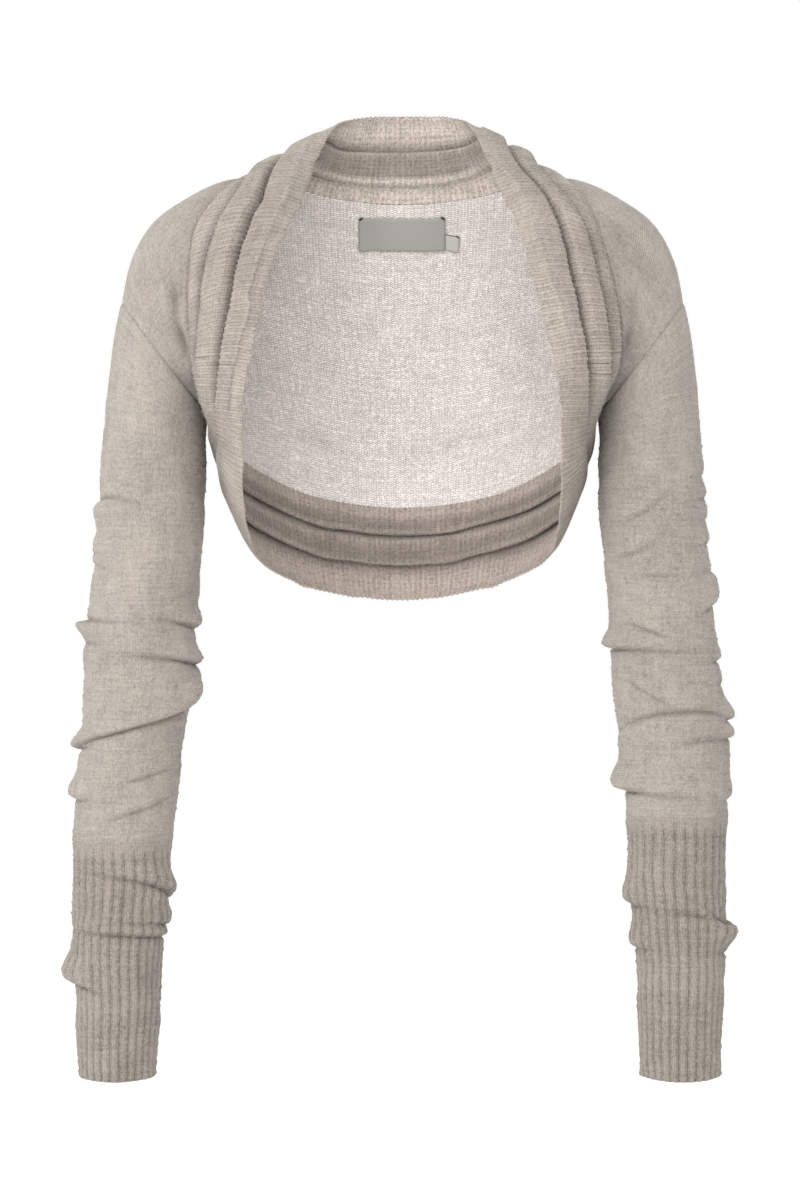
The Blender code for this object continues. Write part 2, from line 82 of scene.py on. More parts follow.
# The band's pleats.
FOLD_POINTS = 7  # round each fold
STRIP_POINTS = 6  # across each strip between two pleats
STRIP_BULGE = 4.0  # mm that these strips arch out on the fronts
EDGE_STRIP_BULGE = 0.35  # the strip at the free edge arches out by this share of it
FRONT_STATIONS = (1.2, 2.6, 7.0, 9.5)  # the arches grow between the first two, and fade between the last
FRONT_HEIGHT = 0.25  # how much higher the pleats stand there
NAPE_PLEAT = 0.15  # how much of the pleat by the seam is left at the nape
PLEAT_ROOM = 1.2  # mm from a pleat's folds to the valley and the crest beside it
EDGE_ROLL = 8.0  # mm from the free edge to where the band starts to turn in
LAST_STATION = 16
# The band's slow unevenness: how much (shares of the width and of a pleat, and mm), and how many
# stations long its waves are. It dies down over the last stations towards the middle of the back.
UNEVEN_BAND = {"at": (0.012, 2.6), "deep": (0.16, 1.9), "high": (0.14, 2.3), "sway": (1.1, 0.9)}
CALM_STATIONS = 1.6
VALLEY_SHADE_WIDTH = 7.0  # mm over which the painted shade at a pleat's foot darkens the cloth beside it
HOLLOW_SHADE = {"slope": 0.9, "deep": 7.0, "share": 0.7}  # how painted shade darkens a place lower (mm) than its neighbours

# Panels. The armhole is an ellipse in a tilted plane, from outside the arm down to the underarm.
ARMHOLE = {"x": 182.0, "z": -123.5, "half_length": 51.0, "half_depth": 55.0, "tilt": 52.9}
ARMHOLE_FACING = {"outward": 0.35, "depth": 1.2, "upward": 0.25}  # which way the cloth faces there
RING = 22  # points round the armhole, as the panels count them
LAST_ROW = 10  # how many of them the front and the back panel each reach, before the underarm
SHOULDER_POINTS = 6  # along the shoulder line
FRONT_CORNER = 4.0  # mm, the front panel's width at its lower tip
COLLAR_STATIONS = [0, 0.5, 1, 1.5, 2, 2.75, 3.5, 4.25, 5, 6, 7, 8]
HEM_STATIONS = [8, 9, 9.5, 10, 10.5, 11, 11.6, 12.2, 12.8, 13.4, 14, 14.5, 15, 15.5, 16]
NECK_SIDE, JOINT, ARMHOLE_FRONT, ARMHOLE_BACK = 2, 8, 10, 11  # stations at the corners of the panels

PANEL_GRID = {"back": (88, 56), "front": (76, 30)}  # rows and columns of the finer panels
SEAM = {"wide": 1.7, "ridge_at": 3.4, "ridge_wide": 1.4, "ridge": 0.35}  # mm, and a share of the dip

FIBRE = {"length": 5.0, "lift": 1.4, "width": 0.1, "per_cm2": 10}  # mm
CAMERA = {"spot": (-0.002, -2.87, -0.304), "lens": 111.5}
FLOOR_Z = -0.85
FLOOR_TONES = [(0.925, 0.925, 0.92, 1), (0.95, 0.95, 0.945, 1)]
WHITE = (1, 1, 1, 1)
LAMPS_AIM = (0, 0, -0.3)
LAMPS = [
    ("key", (-0.6, -2.65, 0.95), 2.5, 61.5),
    ("side", (-2.2, -0.9, 0.3), 1.6, 14.0),
]


def table(text):
    """Columns by name, from a header line and one line for each row. The first column names the row."""
    header, *rows = [line.split() for line in text.strip().splitlines()]
    return {name: np.array([float(r[i]) for r in rows]) for i, name in enumerate(header) if i}


# Shoulder line, from the neck to the top of the armhole. Millimetres; x is measured outwards.
SHOULDER = table("""
place     x   y   z
neck    109 -42  15
slope   129 -56  14
slope   146 -65   6
slope   166 -69  -4
slope   184 -70 -16
slope   196 -70 -30
drop    206 -70 -51
armhole 213 -70 -83
""")

# Centre line of the back panel, from the nape to the hem seam.
SPINE = table("""
place     z  y
nape      0  0
upper   -30 11
blades  -82 24
blades -133 31
lower  -184 31
hem    -236 28
""")

# The rib band at its stations from the nape to the middle of the back hem: where it is sewn on
# (seam) and its free edge, for the wearer's right (r) and left (l), and how far it bows out.
BAND = table("""
station    seam_y edge_y bow seam_xr seam_zr edge_xr edge_zr seam_xl seam_zl edge_xl edge_zl
nape            0    -14   4       0       0       0      66       0       0       0      66
nape_side      -4    -26   2      56       5      41      62      56       5      41      63
neck_side     -42    -58   4     109      15      57      46     109      15      55      49
collarbone    -84    -90   7     137      -2      69      15     133       0      66      20
front        -105   -114   9     155     -27      77     -12     143     -20      75      -5
front        -119   -134   9     159     -52      88     -35     149     -41      85     -28
front        -127   -151   9     160     -84     100     -67     156     -68      94     -62
front        -130   -163   9     158    -112     107    -105     162    -101     105    -104
joint        -127   -169   8     157    -132     114    -139     162    -130     113    -139
front        -113   -168   7     154    -149     118    -165     156    -148     116    -161
armhole       -86   -157   6   147.5    -163     118    -197   147.5    -163     117    -190
armhole       -54   -132   6     146    -168     119    -229     146    -168     118    -224
side          -22    -97   6     140    -182     116    -258     140    -182     117    -254
side_back       3    -60   5     124    -201     106    -280     124    -201     110    -276
hem            20    -18   4      83    -223      76    -297      83    -223      79    -294
hem            26      3   4      41    -233      39    -305      41    -233      39    -304
hem            28      9   4       0    -236       0    -308       0    -236       0    -308
""")

# The band's two lengthwise pleats at the same stations: middle, as a share of the way from the seam
# to the free edge on the wearer's right (r) and left (l), how far its layers overlap and how high
# they stand.
PLEATS = table("""
station    b_at_r b_at_l b_deep b_high a_at_r a_at_l a_deep a_high
nape         0.16   0.16      6      6   0.42   0.42     23      9
nape_side    0.17   0.19      6      6   0.44   0.48     21      9
neck_side    0.23   0.42      7      7   0.68   0.78     13      9
collarbone   0.39   0.54      8      8    0.7   0.81     12      9
front         0.4   0.45     10      9   0.74   0.72     12      9
front        0.36   0.34     10      9   0.75   0.68     12      9
front        0.34   0.35     10      8   0.76    0.7     12      9
front        0.33   0.37      9      8   0.76   0.73     11      9
joint        0.32   0.36      8      8   0.75   0.73     10      9
front        0.31   0.34      8      7   0.74   0.73     10      8
armhole      0.31   0.33      7      6   0.69   0.69     10      8
armhole      0.32   0.32      7      6   0.63   0.63     11      8
side         0.28   0.28      8      6   0.58   0.58     13      8
side_back    0.22   0.22     11      7   0.52   0.52     15      8
hem           0.2    0.2     12      8    0.5    0.5     17      9
hem           0.2    0.2     13      8    0.5    0.5     18      9
hem           0.2    0.2     13      8    0.5    0.5     18      9
""")

# Sections of sleeve and cuff, from the armhole to the cuff's end: height, middle and half width on the
# wearer's right (r) and left (l), the middle's y, half depth, and tilt in degrees.
ARM = table("""
section      z   x_r wide_r   x_l wide_l    y deep tilt
armhole -123.5   182     51   182     51  -70   55 52.9
upper     -150   185     42   185     42  -70   53   31
upper     -176 187.5   38.5 187.5     38  -70   51   13
upper     -203   189     39   188   38.5  -70   49    3
upper     -247   191   39.5   190   39.5  -69   47    0
upper     -293   195     40   195     39  -68   45    0
elbow     -338   200   41.5 198.5   39.5  -67   44    0
elbow     -369 200.5   41.5   201   40.5  -68   43    0
fore      -399   204   38.5 204.5     41  -70   42    0
fore      -430 207.5     38 206.5   40.5  -73   40    0
fore      -460   210     38 207.5     38  -76   39    0
rib       -491   212   36.5 207.5   36.5  -80   37    0
rib       -520   212   35.8   207     36  -84 35.5    0
rib       -549 213.6   34.5   209   34.8  -88   34    0
rib       -580   215   32.7   210   32.7  -92   32    0
rib       -609   214     31 209.5   31.5  -95   30    0
rib       -640 214.8     30   209   30.3  -98 28.5    0
end       -667 214.6     28   209     29 -101   27    0
""")

# Slouch folds. Each is a crease and a roll beside it: above the crease, or below it where tall is
# negative. Its height z and the angle at where the roll is fullest (0 outside of the arm, 90 back,
# 180 towards the body, 270 front), half the roll's spread and the crease's reach round the arm in
# degrees, the crease's rise and arch over 90 degrees, how far the roll stands out, half its height
# and the depth of the crease.
FOLDS_RIGHT = table("""
fold       z  at spread reach rise arch out tall deep
front   -221 297     40    45   16    0 0.8    8    1
outside -233 340     75    95  -11  -23   4   -9  1.6
outside -272 350     60    70    6    0 2.5    8  0.8
outside -281 350     60    75    6    0   2    7  0.8
outside -324 352     45   130    1    0   8   -6  1.8
outside -341 352     45    60    0    0   0    5    2
inside  -328 195     55    75    9    0 5.5    9  2.5
inside  -356 190     60   160  6.5    0 5.5    8    3
inside  -388 195     70    80  -26    0   8   14    2
front   -407 280    130   140  -17    3   4    6  2.5
outside -421 350     45    50   -8    0   7    8    2
outside -458 350     55    70    4    0 6.5   10  1.6
front   -440 240     50    55  -17    0   2    6  1.2
front   -466 250     60    70  -20    0   2    7  1.2
back    -243  95     60    75   10  -12   2    9    1
back    -286 110     55    80  -12    0 2.5    8  1.2
back    -331  90     70    90    8    0 3.5    8    2
back    -362  70     60    85  -14    6   4    7  2.2
back    -398 100     65    90   16    0 4.5    9  2.2
back    -437  80     60    80   -9    0 3.5   -8  1.6
slouch  -527 200     75   160   18 -5.5   6    9  2.5
slouch  -552 195     60   110    4    0 4.5    8  1.6
slouch  -560 230    150   170    3    0 3.5    6  2.2
slouch  -595 350     60   100   11    0   9   12    2
back    -540  95     60    85  -12    0   4    9  1.8
back    -580 100     60    80    8    0   3    8  1.4
""")
FOLDS_LEFT = table("""
fold       z  at spread reach rise arch out tall deep
outside -214 350     45    55    6    0 1.4    7  0.7
outside -231 350     50    60    6    0 1.8    8  0.8
outside -247 350     50    60    5    0 1.8    8  0.8
outside -266 350     50    65    6    0   2    8  0.9
outside -287 350     45    50    4    0   3   -8    1
outside -311 350     50    65   20    0   5   10    2
front   -243 255     45    50   34   50 1.6    9  1.2
front   -273 240     45    50   19   29 1.8    9  1.2
front   -290 265     50    50   -1    0 1.5    8  0.9
front   -331 250     40    42  -22  -20   2    8  1.3
inside  -345 190     60   180   -2    0   6    8  2.2
outside -354 352     45    60    4    0 3.5    7  1.8
outside -372 350     45    50    0    0 1.5    8    1
front   -379 245     35    40  -37    0 1.8    7  1.2
outside -399 355     45    55    5    0   7    9  1.5
front   -393 270    120   125    5  -14   3   -9  2.2
outside -412 352     45    55    6    0   5    7    2
front   -414 300     50    50    9    0 1.5    7  1.2
inside  -452 185     60   150   -4    0  10   12  2.4
outside -459 355     55    60    4    0   3   10    1
back    -238  80     60    75  -10    8   2    9    1
back    -279 100     60    80   12    0 2.5    8  1.2
back    -322  75     65    90   -9    0 3.5    8  1.8
back    -357 105     60    85   15    0   4    8  2.2
back    -388  85     65    90  -12   -6 4.5    9  2.2
back    -431 100     60    80    9    0 3.5   -8  1.6
slouch  -538 185     60    80   -3    0 4.5   12  1.5
slouch  -570 185     60    80    0    0   4   10  1.5
slouch  -553 350     55    75    1   50   9   -9    2
slouch  -574 350     50    60   -4    0   0    8    2
slouch  -545 290     50    60  -10    0 1.5   -8  1.6
back    -556  90     60    85   10    0   4    9  1.8
back    -592 110     55    75   -6    0 2.5    8  1.2
""")

FOLDS = {"right": FOLDS_RIGHT, "left": FOLDS_LEFT}

# Soft creases on the panels, as lines in the front view: ends, how far the middle bends, depth, width.
FRONT_CREASES = table("""
crease   x0   z0   x1   z1 bend deep wide
right  -171  -68 -169 -104    1  2.6    4
right  -169 -100 -160 -127    1  3.6    3
left    174  -72  172 -106   -1    2    4
left    172 -102  165 -127   -1  2.6  3.5
left    156  -26  172  -64    2  1.8    6
left    168  -34  186  -80    2  1.5    6
""")
BACK_CREASES = table("""
crease     x0   z0   x1   z1 bend deep wide
nape      -70  -17  -28  -22    2  1.2  3.5
nape       30  -20   74  -16    2    1  3.5
low       -96 -176  -40 -196    4  1.5    6
low        20 -196   92 -172    4  1.6    6
low       -20 -186   44 -190   -3    1    7
side       84  -92  106 -118    3  1.6    6
side       72 -128  108 -142    3  1.4    6
side     -112  -96  -90 -124   -3  1.2    6
shoulder  -98  -34 -124  -78    4  1.2    7
shoulder   96  -34  122  -74   -4  1.2    7
""")


def curve(knots, values, at):
    """A smooth curve through values (one row or number for each knot), read at the places given."""
    knots, at = np.asarray(knots, float), np.asarray(at, float)
    values = np.asarray(values, float).reshape(len(knots), -1)
    steps = np.diff(knots)[:, None]
    slopes = np.diff(values, axis=0) / steps
    inner = (slopes[:-1] * steps[1:] + slopes[1:] * steps[:-1]) / (steps[1:] + steps[:-1])
    ends = np.vstack([slopes[:1], inner, slopes[-1:]])
    i = np.clip(np.searchsorted(knots, at, side="right") - 1, 0, len(knots) - 2)
    h = np.diff(knots)[i][:, None]
    s = ((at - knots[i])[:, None]) / h
    return (
        (2 * s**3 - 3 * s**2 + 1) * values[i]
        + (s**3 - 2 * s**2 + s) * h * ends[i]
        + (3 * s**2 - 2 * s**3) * values[i + 1]
        + (s**3 - s**2) * h * ends[i + 1]
    )


def unit(v):
    return v / np.maximum(np.linalg.norm(v, axis=-1, keepdims=True), 1e-9)


def lengths(points, axis=0):
    """The distances between neighbours along a line or a grid of points."""
    return np.linalg.norm(np.diff(points, axis=axis), axis=-1)


def length_along(points):
    """How far along an open line of points each one lies, as a share of its length."""
    steps = lengths(points)
    return np.concatenate([[0], np.cumsum(steps)]) / steps.sum()


def mirrored(x, y, z, side):
    return np.stack([np.asarray(x) * SIDES[side], y, z], axis=-1)


def waver(at, length, seed):
    """A slow wave between about -1 and 1 along at, the same on every run."""
    total = 0 * np.asarray(at, float)
    for i, share in enumerate((0.5, 0.3, 0.2)):
        turns = np.asarray(at) * (1 + 0.73 * i) / length + seed * 0.37 * (i + 1)
        total = total + share * np.sin(2 * math.pi * turns)
    return total


def shoulder_line(side, at):
    """Points from the neck (0) to the armhole (1)."""
    points = mirrored(SHOULDER["x"], SHOULDER["y"], SHOULDER["z"], side)
    return curve(length_along(points), points, at)


def armhole_loop(side, degrees):
    """Points on the armhole: 0 outside the arm, 90 at the back, 180 at the underarm, 270 in front."""
    a = np.radians(degrees)
    tilt = math.radians(ARMHOLE["tilt"])
    out, up = ARMHOLE["half_length"] * math.cos(tilt), ARMHOLE["half_length"] * math.sin(tilt)
    x = ARMHOLE["x"] + out * np.cos(a)
    y = AXIS_Y + ARMHOLE["half_depth"] * np.sin(a)
    return mirrored(x, y, ARMHOLE["z"] + up * np.cos(a), side)


def armhole_normal(side, degrees):
    """The cloth's outward direction on the armhole, shared by what is sewn there above the underarm."""
    a = np.radians(degrees)
    outward = np.clip(np.cos(a) + ARMHOLE_FACING["outward"], 0, 1)
    depth, upward = ARMHOLE_FACING["depth"] * np.sin(a), ARMHOLE_FACING["upward"] * outward
    return unit(np.stack([SIDES[side] * outward, depth, upward], axis=-1))


def near_underarm(shared, own, degrees):
    """The shared direction, turning into the piece's own one at the underarm."""
    share = np.clip(-np.cos(np.radians(degrees)), 0, 1)[:, None] ** 3
    return unit(shared * (1 - share) + own * share)


def band_curve(values, at):
    """A smooth curve through points or numbers at the band's stations. It goes on into the garment's
    other half at both ends, so that the halves meet there without a corner."""
    values = np.asarray(values, float).reshape(len(values), -1)
    values = np.pad(values, ((1, 1), (0, 0)), mode="reflect")
    if values.shape[1] == 3:  # points, whose x changes sign in the other half
        values[[0, -1], 0] *= -1
    return curve(np.arange(-1, len(values) - 1), values, at)


def band_rails(side, at):
    """Seam and free edge of the band at stations counted from the nape, with the bow between them."""
    seam, edge = (
        mirrored(BAND[f"{rail}_x{side[0]}"], BAND[f"{rail}_y"], BAND[f"{rail}_z{side[0]}"], side)
        for rail in ("seam", "edge")
    )
    return band_curve(seam, at), band_curve(edge, at), band_curve(BAND["bow"], at)


def between(a, b, count, bulge=0.0):
    """Points from a to b, without its ends: on the straight line, or on an arch over it."""
    share = np.linspace(0, 1, count + 2)[1:-1, None]
    arch = np.array([0.0, bulge]) * np.sin(math.pi * share) ** 0.8
    return list(np.array(a) * (1 - share) + np.array(b) * share + arch)


def smoothed(line):
    """Rounds a line's corners a little, and leaves its ends."""
    ends = line[[0, -1]]
    for _ in range(2):
        line[1:-1] = line[1:-1] / 2 + (line[:-2] + line[2:]) / 4
        line[[0, -1]] = ends
    return line


def pleat_path(width, pleats, bulge):
    """Across the band from its seam to its free edge: how far along, and how far out. Each pleat is a
    valley, an S of two round folds and a crest, so that its outer layer hangs over the inner one
    towards the seam. The strips between the pleats stand out in a soft arch."""
    path = [(0.0, 0.0)]
    turn = np.radians(np.linspace(-90, 90, FOLD_POINTS))
    for middle, deep, high in pleats:
        fold, centre = high / 4, middle * width
        reach = deep / 2 - fold
        valley = (centre - deep / 2 - PLEAT_ROOM, -high / 2)
        lower = list(zip(centre + reach + fold * np.cos(turn), fold * np.sin(turn) - high / 4))
        upper = list(zip(centre - reach - fold * np.cos(turn), fold * np.sin(turn) + high / 4))
        path += between(path[-1], valley, STRIP_POINTS, bulge) + [valley]
        path += between(valley, lower[0], 3) + lower
        path += between(lower[-1], upper[0], 2) + upper
        path.append((centre + deep / 2 + PLEAT_ROOM, high * 0.4))
    roll = (max(width - EDGE_ROLL, path[-1][0] + PLEAT_ROOM), high * 0.25)
    path += between(path[-1], roll, 6, bulge * EDGE_STRIP_BULGE) + [roll]
    path += between(roll, (width, 0.0), 3) + [(width, 0.0)]
    return smoothed(np.array(path)).T


def band_strip(side, stations):
    """Points across and along the band at the stations, with their outward directions and the masks for
    painted shade: how far each is under other layers and how near the foot of a crease, as seen from outside
    and from inside."""
    stations = np.array(stations, float)
    turned, seed = -SIDES[side], SIDES[side]
    seam, edge, bow = band_rails(side, stations)
    ahead, behind = band_rails(side, stations + 0.02), band_rails(side, stations - 0.02)
    seam_run, edge_run = unit(ahead[0] - behind[0]), unit(ahead[1] - behind[1])
    pleat = {k: band_curve(v, stations)[:, 0] for k, v in PLEATS.items()}
    calm = np.clip(np.minimum(stations, LAST_STATION - stations) / CALM_STATIONS, 0, 1)
    calm = calm * calm * (3 - 2 * calm)
    seeds = {"at": 3 * seed, "deep": 5 + seed, "high": 8 + seed, "sway": 11 + seed}
    uneven = {k: size * waver(stations, long, seeds[k]) * calm for k, (size, long) in UNEVEN_BAND.items()}
    deeper, higher, sway = 1 + uneven["deep"], 1 + uneven["high"], uneven["sway"]
    front = np.interp(stations, FRONT_STATIONS, [0, 1, 1, 0])
    low_pleat = np.interp(stations, [0.8, 2.0], [0, 1])  # the pleat by the seam is flat at the nape
    points, normals, layers, valley_shades = [], [], [], []
    for i in range(len(stations)):
        across = edge[i] - seam[i]
        width = np.linalg.norm(across)
        pleats = []
        for k, share in (("b", NAPE_PLEAT + (1 - NAPE_PLEAT) * low_pleat[i]), ("a", 1.0)):
            middle = pleat[f"{k}_at_{side[0]}"][i] + uneven["at"][i]
            high = pleat[f"{k}_high"][i] * higher[i] * (1 + FRONT_HEIGHT * front[i]) * share
            pleats.append((middle, pleat[f"{k}_deep"][i] * deeper[i] * share, high))
        along, out = pleat_path(width, pleats, STRIP_BULGE * front[i])
        shown = np.where(along < (pleats[0][0] + pleats[1][0]) / 2 * width, low_pleat[i], 1.0)
        layers.append(covered(along) * shown)
        valley_shades.append(painted_valley_shade(along, out, pleats, width) * shown[:, None])
        v = (along / width)[:, None]
        run = unit(seam_run[i] * (1 - v) + edge_run[i] * v)
        flat = unit(np.cross(run, across)) * turned
        slope = unit(across / width + flat * bow[i] / width * 4 * (1 - 2 * v))
        normal = unit(np.cross(run, slope)) * turned
        bowed = flat * bow[i] * 4 * v * (1 - v)
        points.append(seam[i] + across * v + slope * sway[i] * v**3 + bowed + normal * out[:, None])
        rise = unit(np.stack([np.gradient(along), np.gradient(out)], axis=-1))
        tilted = unit(normal * rise[:, :1] - slope * rise[:, 1:])
        tilted[0] = normal[0]
        normals.append(tilted)
    return np.array(points), np.array(normals), np.array(layers), np.array(valley_shades)


def covered(along):
    """1 where a path across the band lies in three layers, 0 where it is single, soft in between: the mask
    for painted shade of three layers.
    """
    start, end = np.minimum(along[:-1], along[1:]), np.maximum(along[:-1], along[1:])
    inside = (start[None] + 0.01 < along[:, None]) & (along[:, None] < end[None] - 0.01)
    return smoothed(np.clip(inside.sum(axis=1) / 2, 0, 1))


def painted_valley_shade(along, out, pleats, width):
    """Painted shade: 1 at the foot of each pleat, falling off to 0 a few millimetres away from it along the
    path, and some shade wherever cloth close by stands higher: first as seen from outside, then from inside,
    where the foot is at the pleat's other end."""
    walked = np.concatenate([[0], np.cumsum(np.hypot(np.diff(along), np.diff(out)))])
    near = np.zeros((len(along), 2))
    for middle, deep, high in pleats:
        for face, (end, level) in enumerate(((-1, -high / 2), (1, high * 0.4))):
            spot = np.hypot(along - (middle * width + end * (deep / 2 + PLEAT_ROOM)), out - level)
            close = np.exp(-(((walked - walked[np.argmin(spot)]) / VALLEY_SHADE_WIDTH) ** 2))
            near[:, face] = np.maximum(near[:, face], close)
    gap = HOLLOW_SHADE["slope"] * np.abs(along[:, None] - along[None])
    for face, level in enumerate((out, -out)):
        below = (level[None] - level[:, None] - gap).max(axis=1) / HOLLOW_SHADE["deep"]
        near[:, face] = np.maximum(near[:, face], HOLLOW_SHADE["share"] * np.clip(below, 0, 1))
    return near


def grid_normals(points, loop=False):
    """Outward directions of a grid's points, from the differences between neighbours."""
    if loop:
        run = np.roll(points, -1, axis=1) - np.roll(points, 1, axis=1)
    else:
        run = np.gradient(points, axis=1)
    return unit(np.cross(run, np.gradient(points, axis=0)))


def refined(grid, rows, columns):
    """The same grid, read more finely along smooth curves through its points."""
    for count in (rows, columns):
        old = len(grid)
        grid = curve(np.arange(old), grid.reshape(old, -1), np.linspace(0, old - 1, count))
        grid = grid.reshape(count, -1, 3).transpose(1, 0, 2)
    return grid


def blend_patch(top, bottom, first, last, fade=1.0):
    """Coons patch: rows run from first to last, from the top line down to the bottom line. With a
    larger fade, those two lines bend fewer of the rows between them."""
    p = np.linspace(0, 1, len(first))[:, None, None]
    q = np.linspace(0, 1, len(top))[None, :, None]
    rows = (1 - q) * first[:, None] + q * last[:, None]
    for line, share in ((top, (1 - p) ** fade), (bottom, p**fade)):
        rows = rows + share * (line - (1 - q) * line[0] - q * line[-1])
    return rows


def toward(line, target):
    """Draws a line's end over to a target point, and the rest of the line less and less."""
    share = np.linspace(0, 1, len(line))[:, None] ** 6
    return line + share * (target - line[-1])


def ring_degrees(count):
    return np.arange(count) * 360 / count


def back_half(side):
    """Back panel from the spine to the armhole, from the neck and shoulder down to the hem seam."""
    neck = [s for s in COLLAR_STATIONS if s <= NECK_SIDE]
    hem = [s for s in HEM_STATIONS[::-1] if s >= ARMHOLE_BACK]
    shoulder = shoulder_line(side, np.linspace(0, 1, SHOULDER_POINTS))
    top = np.concatenate([band_rails(side, neck)[0][:-1], shoulder])
    bottom = band_rails(side, hem)[0]
    spine = np.stack([SPINE["z"] * 0, SPINE["y"], SPINE["z"]], axis=-1)
    first = curve(length_along(spine), spine, np.linspace(0, 1, LAST_ROW + 1))
    armhole = toward(armhole_loop(side, ring_degrees(RING)[: LAST_ROW + 1]), bottom[-1])
    return blend_patch(top, bottom, first, armhole)


def front_half(side):
    """Front panel: rows from the band's seam to the armhole, from the shoulder down to the underarm."""
    stations = [s for s in COLLAR_STATIONS + HEM_STATIONS[1:] if NECK_SIDE <= s <= ARMHOLE_FRONT]
    seam, share = band_rails(side, stations)[0], np.linspace(0, 1, SHOULDER_POINTS)
    corner = seam[-1] + [SIDES[side] * FRONT_CORNER, 0, 0]
    bottom = seam[-1] + (corner - seam[-1]) * share[:, None]
    armhole = toward(armhole_loop(side, 360 - ring_degrees(RING)[: LAST_ROW + 1]), corner)
    return blend_patch(shoulder_line(side, share), bottom, seam, armhole, fade=3)


def fold_push(folds, z, degrees):
    """How far the slouch folds push the cloth out, how far they drag it up, and where the creases are, as a
    mask for painted shade.
    """
    out = np.zeros(np.broadcast(z, degrees).shape)
    up, dark = out.copy(), out.copy()
    for fold in rows_of(folds):
        turn = (degrees - fold["at"] + 180) % 360 - 180
        crease = fold["z"] + fold["rise"] * turn / 90 + fold["arch"] * (turn / 90) ** 2
        sign, size = np.sign(fold["tall"]), abs(fold["tall"])
        away = (z - crease) * sign  # mm from the crease towards the roll
        fades = [np.clip(np.abs(turn) / fold[k], 0, 1) for k in ("spread", "reach")]
        share, line = (np.cos(fade * math.pi / 2) ** 2 for fade in fades)
        x = np.clip(away / (0.75 * size), 0, None)
        rise = np.clip(x * (2 - np.minimum(x, 1)), 0, 1) ** 0.8
        hump = np.where(x < 1, rise, np.exp(-(((x - 1) / 1.15) ** 2)))
        crease_line = line * np.exp(-((away / CREASE_WIDTH) ** 2))
        out += fold["out"] * share * hump
        out -= fold["deep"] * crease_line
        up -= sign * share * hump**2 * min(FOLD_HANG * fold["out"], 0.35 * size)
        dark = np.maximum(dark, crease_line * min(fold["deep"] / 2.5, 1))
    return out, up, dark


def rows_of(columns):
    """The rows of a table, each with its values by name."""
    return [dict(zip(columns, row)) for row in zip(*columns.values())]


def tube_rings(side, heights, degrees):
    """Rings of points round the arm at the heights given, with the straight outward directions and how near
    each point is to the foot of a crease, as a mask for painted shade."""
    s, seed = side[0], SIDES[side]
    column = {k: curve(-ARM["z"], v, -heights)[:, 0][:, None] for k, v in ARM.items()}
    degrees = degrees[None]
    a, tilt = np.radians(degrees), np.radians(column["tilt"])
    wide, deep = column[f"wide_{s}"], column["deep"]
    x = column[f"x_{s}"] + wide * (np.cos(a) * np.cos(tilt))
    y = column["y"] + deep * np.sin(a)
    z = heights[:, None] + wide * (np.cos(a) * np.sin(tilt))
    points = np.stack([x, y, z], axis=-1)
    radial = unit(np.stack([np.cos(a) / wide, np.sin(a) / deep, 0 * a * deep], axis=-1))
    out, up, dark = fold_push(FOLDS[side], z, degrees)
    uneven = waver(z + 25 * np.sin(a), 47, seed) + waver(degrees + 0.4 * z, 120, 4 + seed)
    girth = np.radians(degrees) * wide
    lumps = waver(z + 0.35 * girth, LUMPS["long"], 13)
    lumps = lumps * waver(girth - 0.3 * z, LUMPS["long"] * 1.6, 21 + seed)
    out = out + (UNEVEN * uneven + 2 * LUMPS["high"] * lumps) * np.clip((-z - 130) / 60, 0, 1)
    points = points + radial * out[..., None]
    points[..., 2] += up
    flip = np.array([seed, 1, 1])
    return points * flip, radial * flip, dark


def crease_panel(points, normals, creases):
    """Soft creases on a panel: each a line in the front view, pressed in along the outward direction.
    Gives the points and how near each is to the foot of a crease, as a mask for painted shade."""
    dark = np.zeros(points.shape[:2])
    for c in rows_of(creases):
        start, end = np.array([c["x0"], c["z0"]]), np.array([c["x1"], c["z1"]])
        line = end - start
        spot = points[..., [0, 2]] - start
        t = np.clip(spot @ line / (line @ line), 0, 1)
        bend = c["bend"] * 4 * t * (1 - t)
        normal = np.array([-line[1], line[0]]) / np.linalg.norm(line)
        gap = spot - t[..., None] * line - bend[..., None] * normal
        share = np.exp(-np.sum(gap**2, axis=-1) / c["wide"] ** 2) * np.sin(math.pi * (0.08 + 0.84 * t))
        points = points - normals * (c["deep"] * share)[..., None]
        dark = np.maximum(dark, share * min(c["deep"] / 4, 1))
    return points, dark


def seam_dip(points, normals, ends=(0, 0), sides=(0, 0)):
    """Presses the cloth in along sewn borders, by the given mm, with a slight ridge beside the seam."""
    points = points.copy()
    for axis, depths in ((0, ends), (1, sides)):
        for depth, step in zip(depths, (1, -1)):
            if depth:
                line = np.moveaxis(points, axis, 0)[::step]
                steps = lengths(line)
                away = np.concatenate([0 * steps[:1], np.cumsum(steps, axis=0)])[..., None]
                ridge = SEAM["ridge"] * np.exp(-(((away - SEAM["ridge_at"]) / SEAM["ridge_wide"]) ** 2))
                push = depth * (ridge - np.exp(-((away / SEAM["wide"]) ** 2)))
                line += np.moveaxis(normals, axis, 0)[::step] * push
    return points


def outward(normals, like):
    """All of a grid's directions, turned round if they face away from like on the whole."""
    return normals if np.sum(normals * like) > 0 else -normals


def link(name, data, spot=(0, 0, 0)):
    obj = bpy.data.objects.new(name, data)
    obj.location = spot
    bpy.context.scene.collection.objects.link(obj)
    return obj


def place(name, data, materials, slot):
    for material in materials:
        data.materials.append(material)
    data.shade_smooth()
    obj = link(name, data)
    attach(obj, "root")
    return obj


def cell_corners(grid):
    """The four corners of each of a grid's cells, in order round it."""
    around = (grid[:-1, :-1], grid[:-1, 1:], grid[1:, 1:], grid[1:, :-1])
    return np.stack([corner.reshape(-1, *grid.shape[2:]) for corner in around], axis=1)


def border_out(points, loop):
    """For the border points of a grid, the direction that leads out of the grid."""
    out = np.zeros_like(points)
    out[0] += unit(points[0] - points[1])
    out[-1] += unit(points[-1] - points[-2])
    if not loop:
        out[:, 0] += unit(points[:, 0] - points[:, 1])
        out[:, -1] += unit(points[:, -1] - points[:, -2])
    return unit(out).reshape(-1, 3)


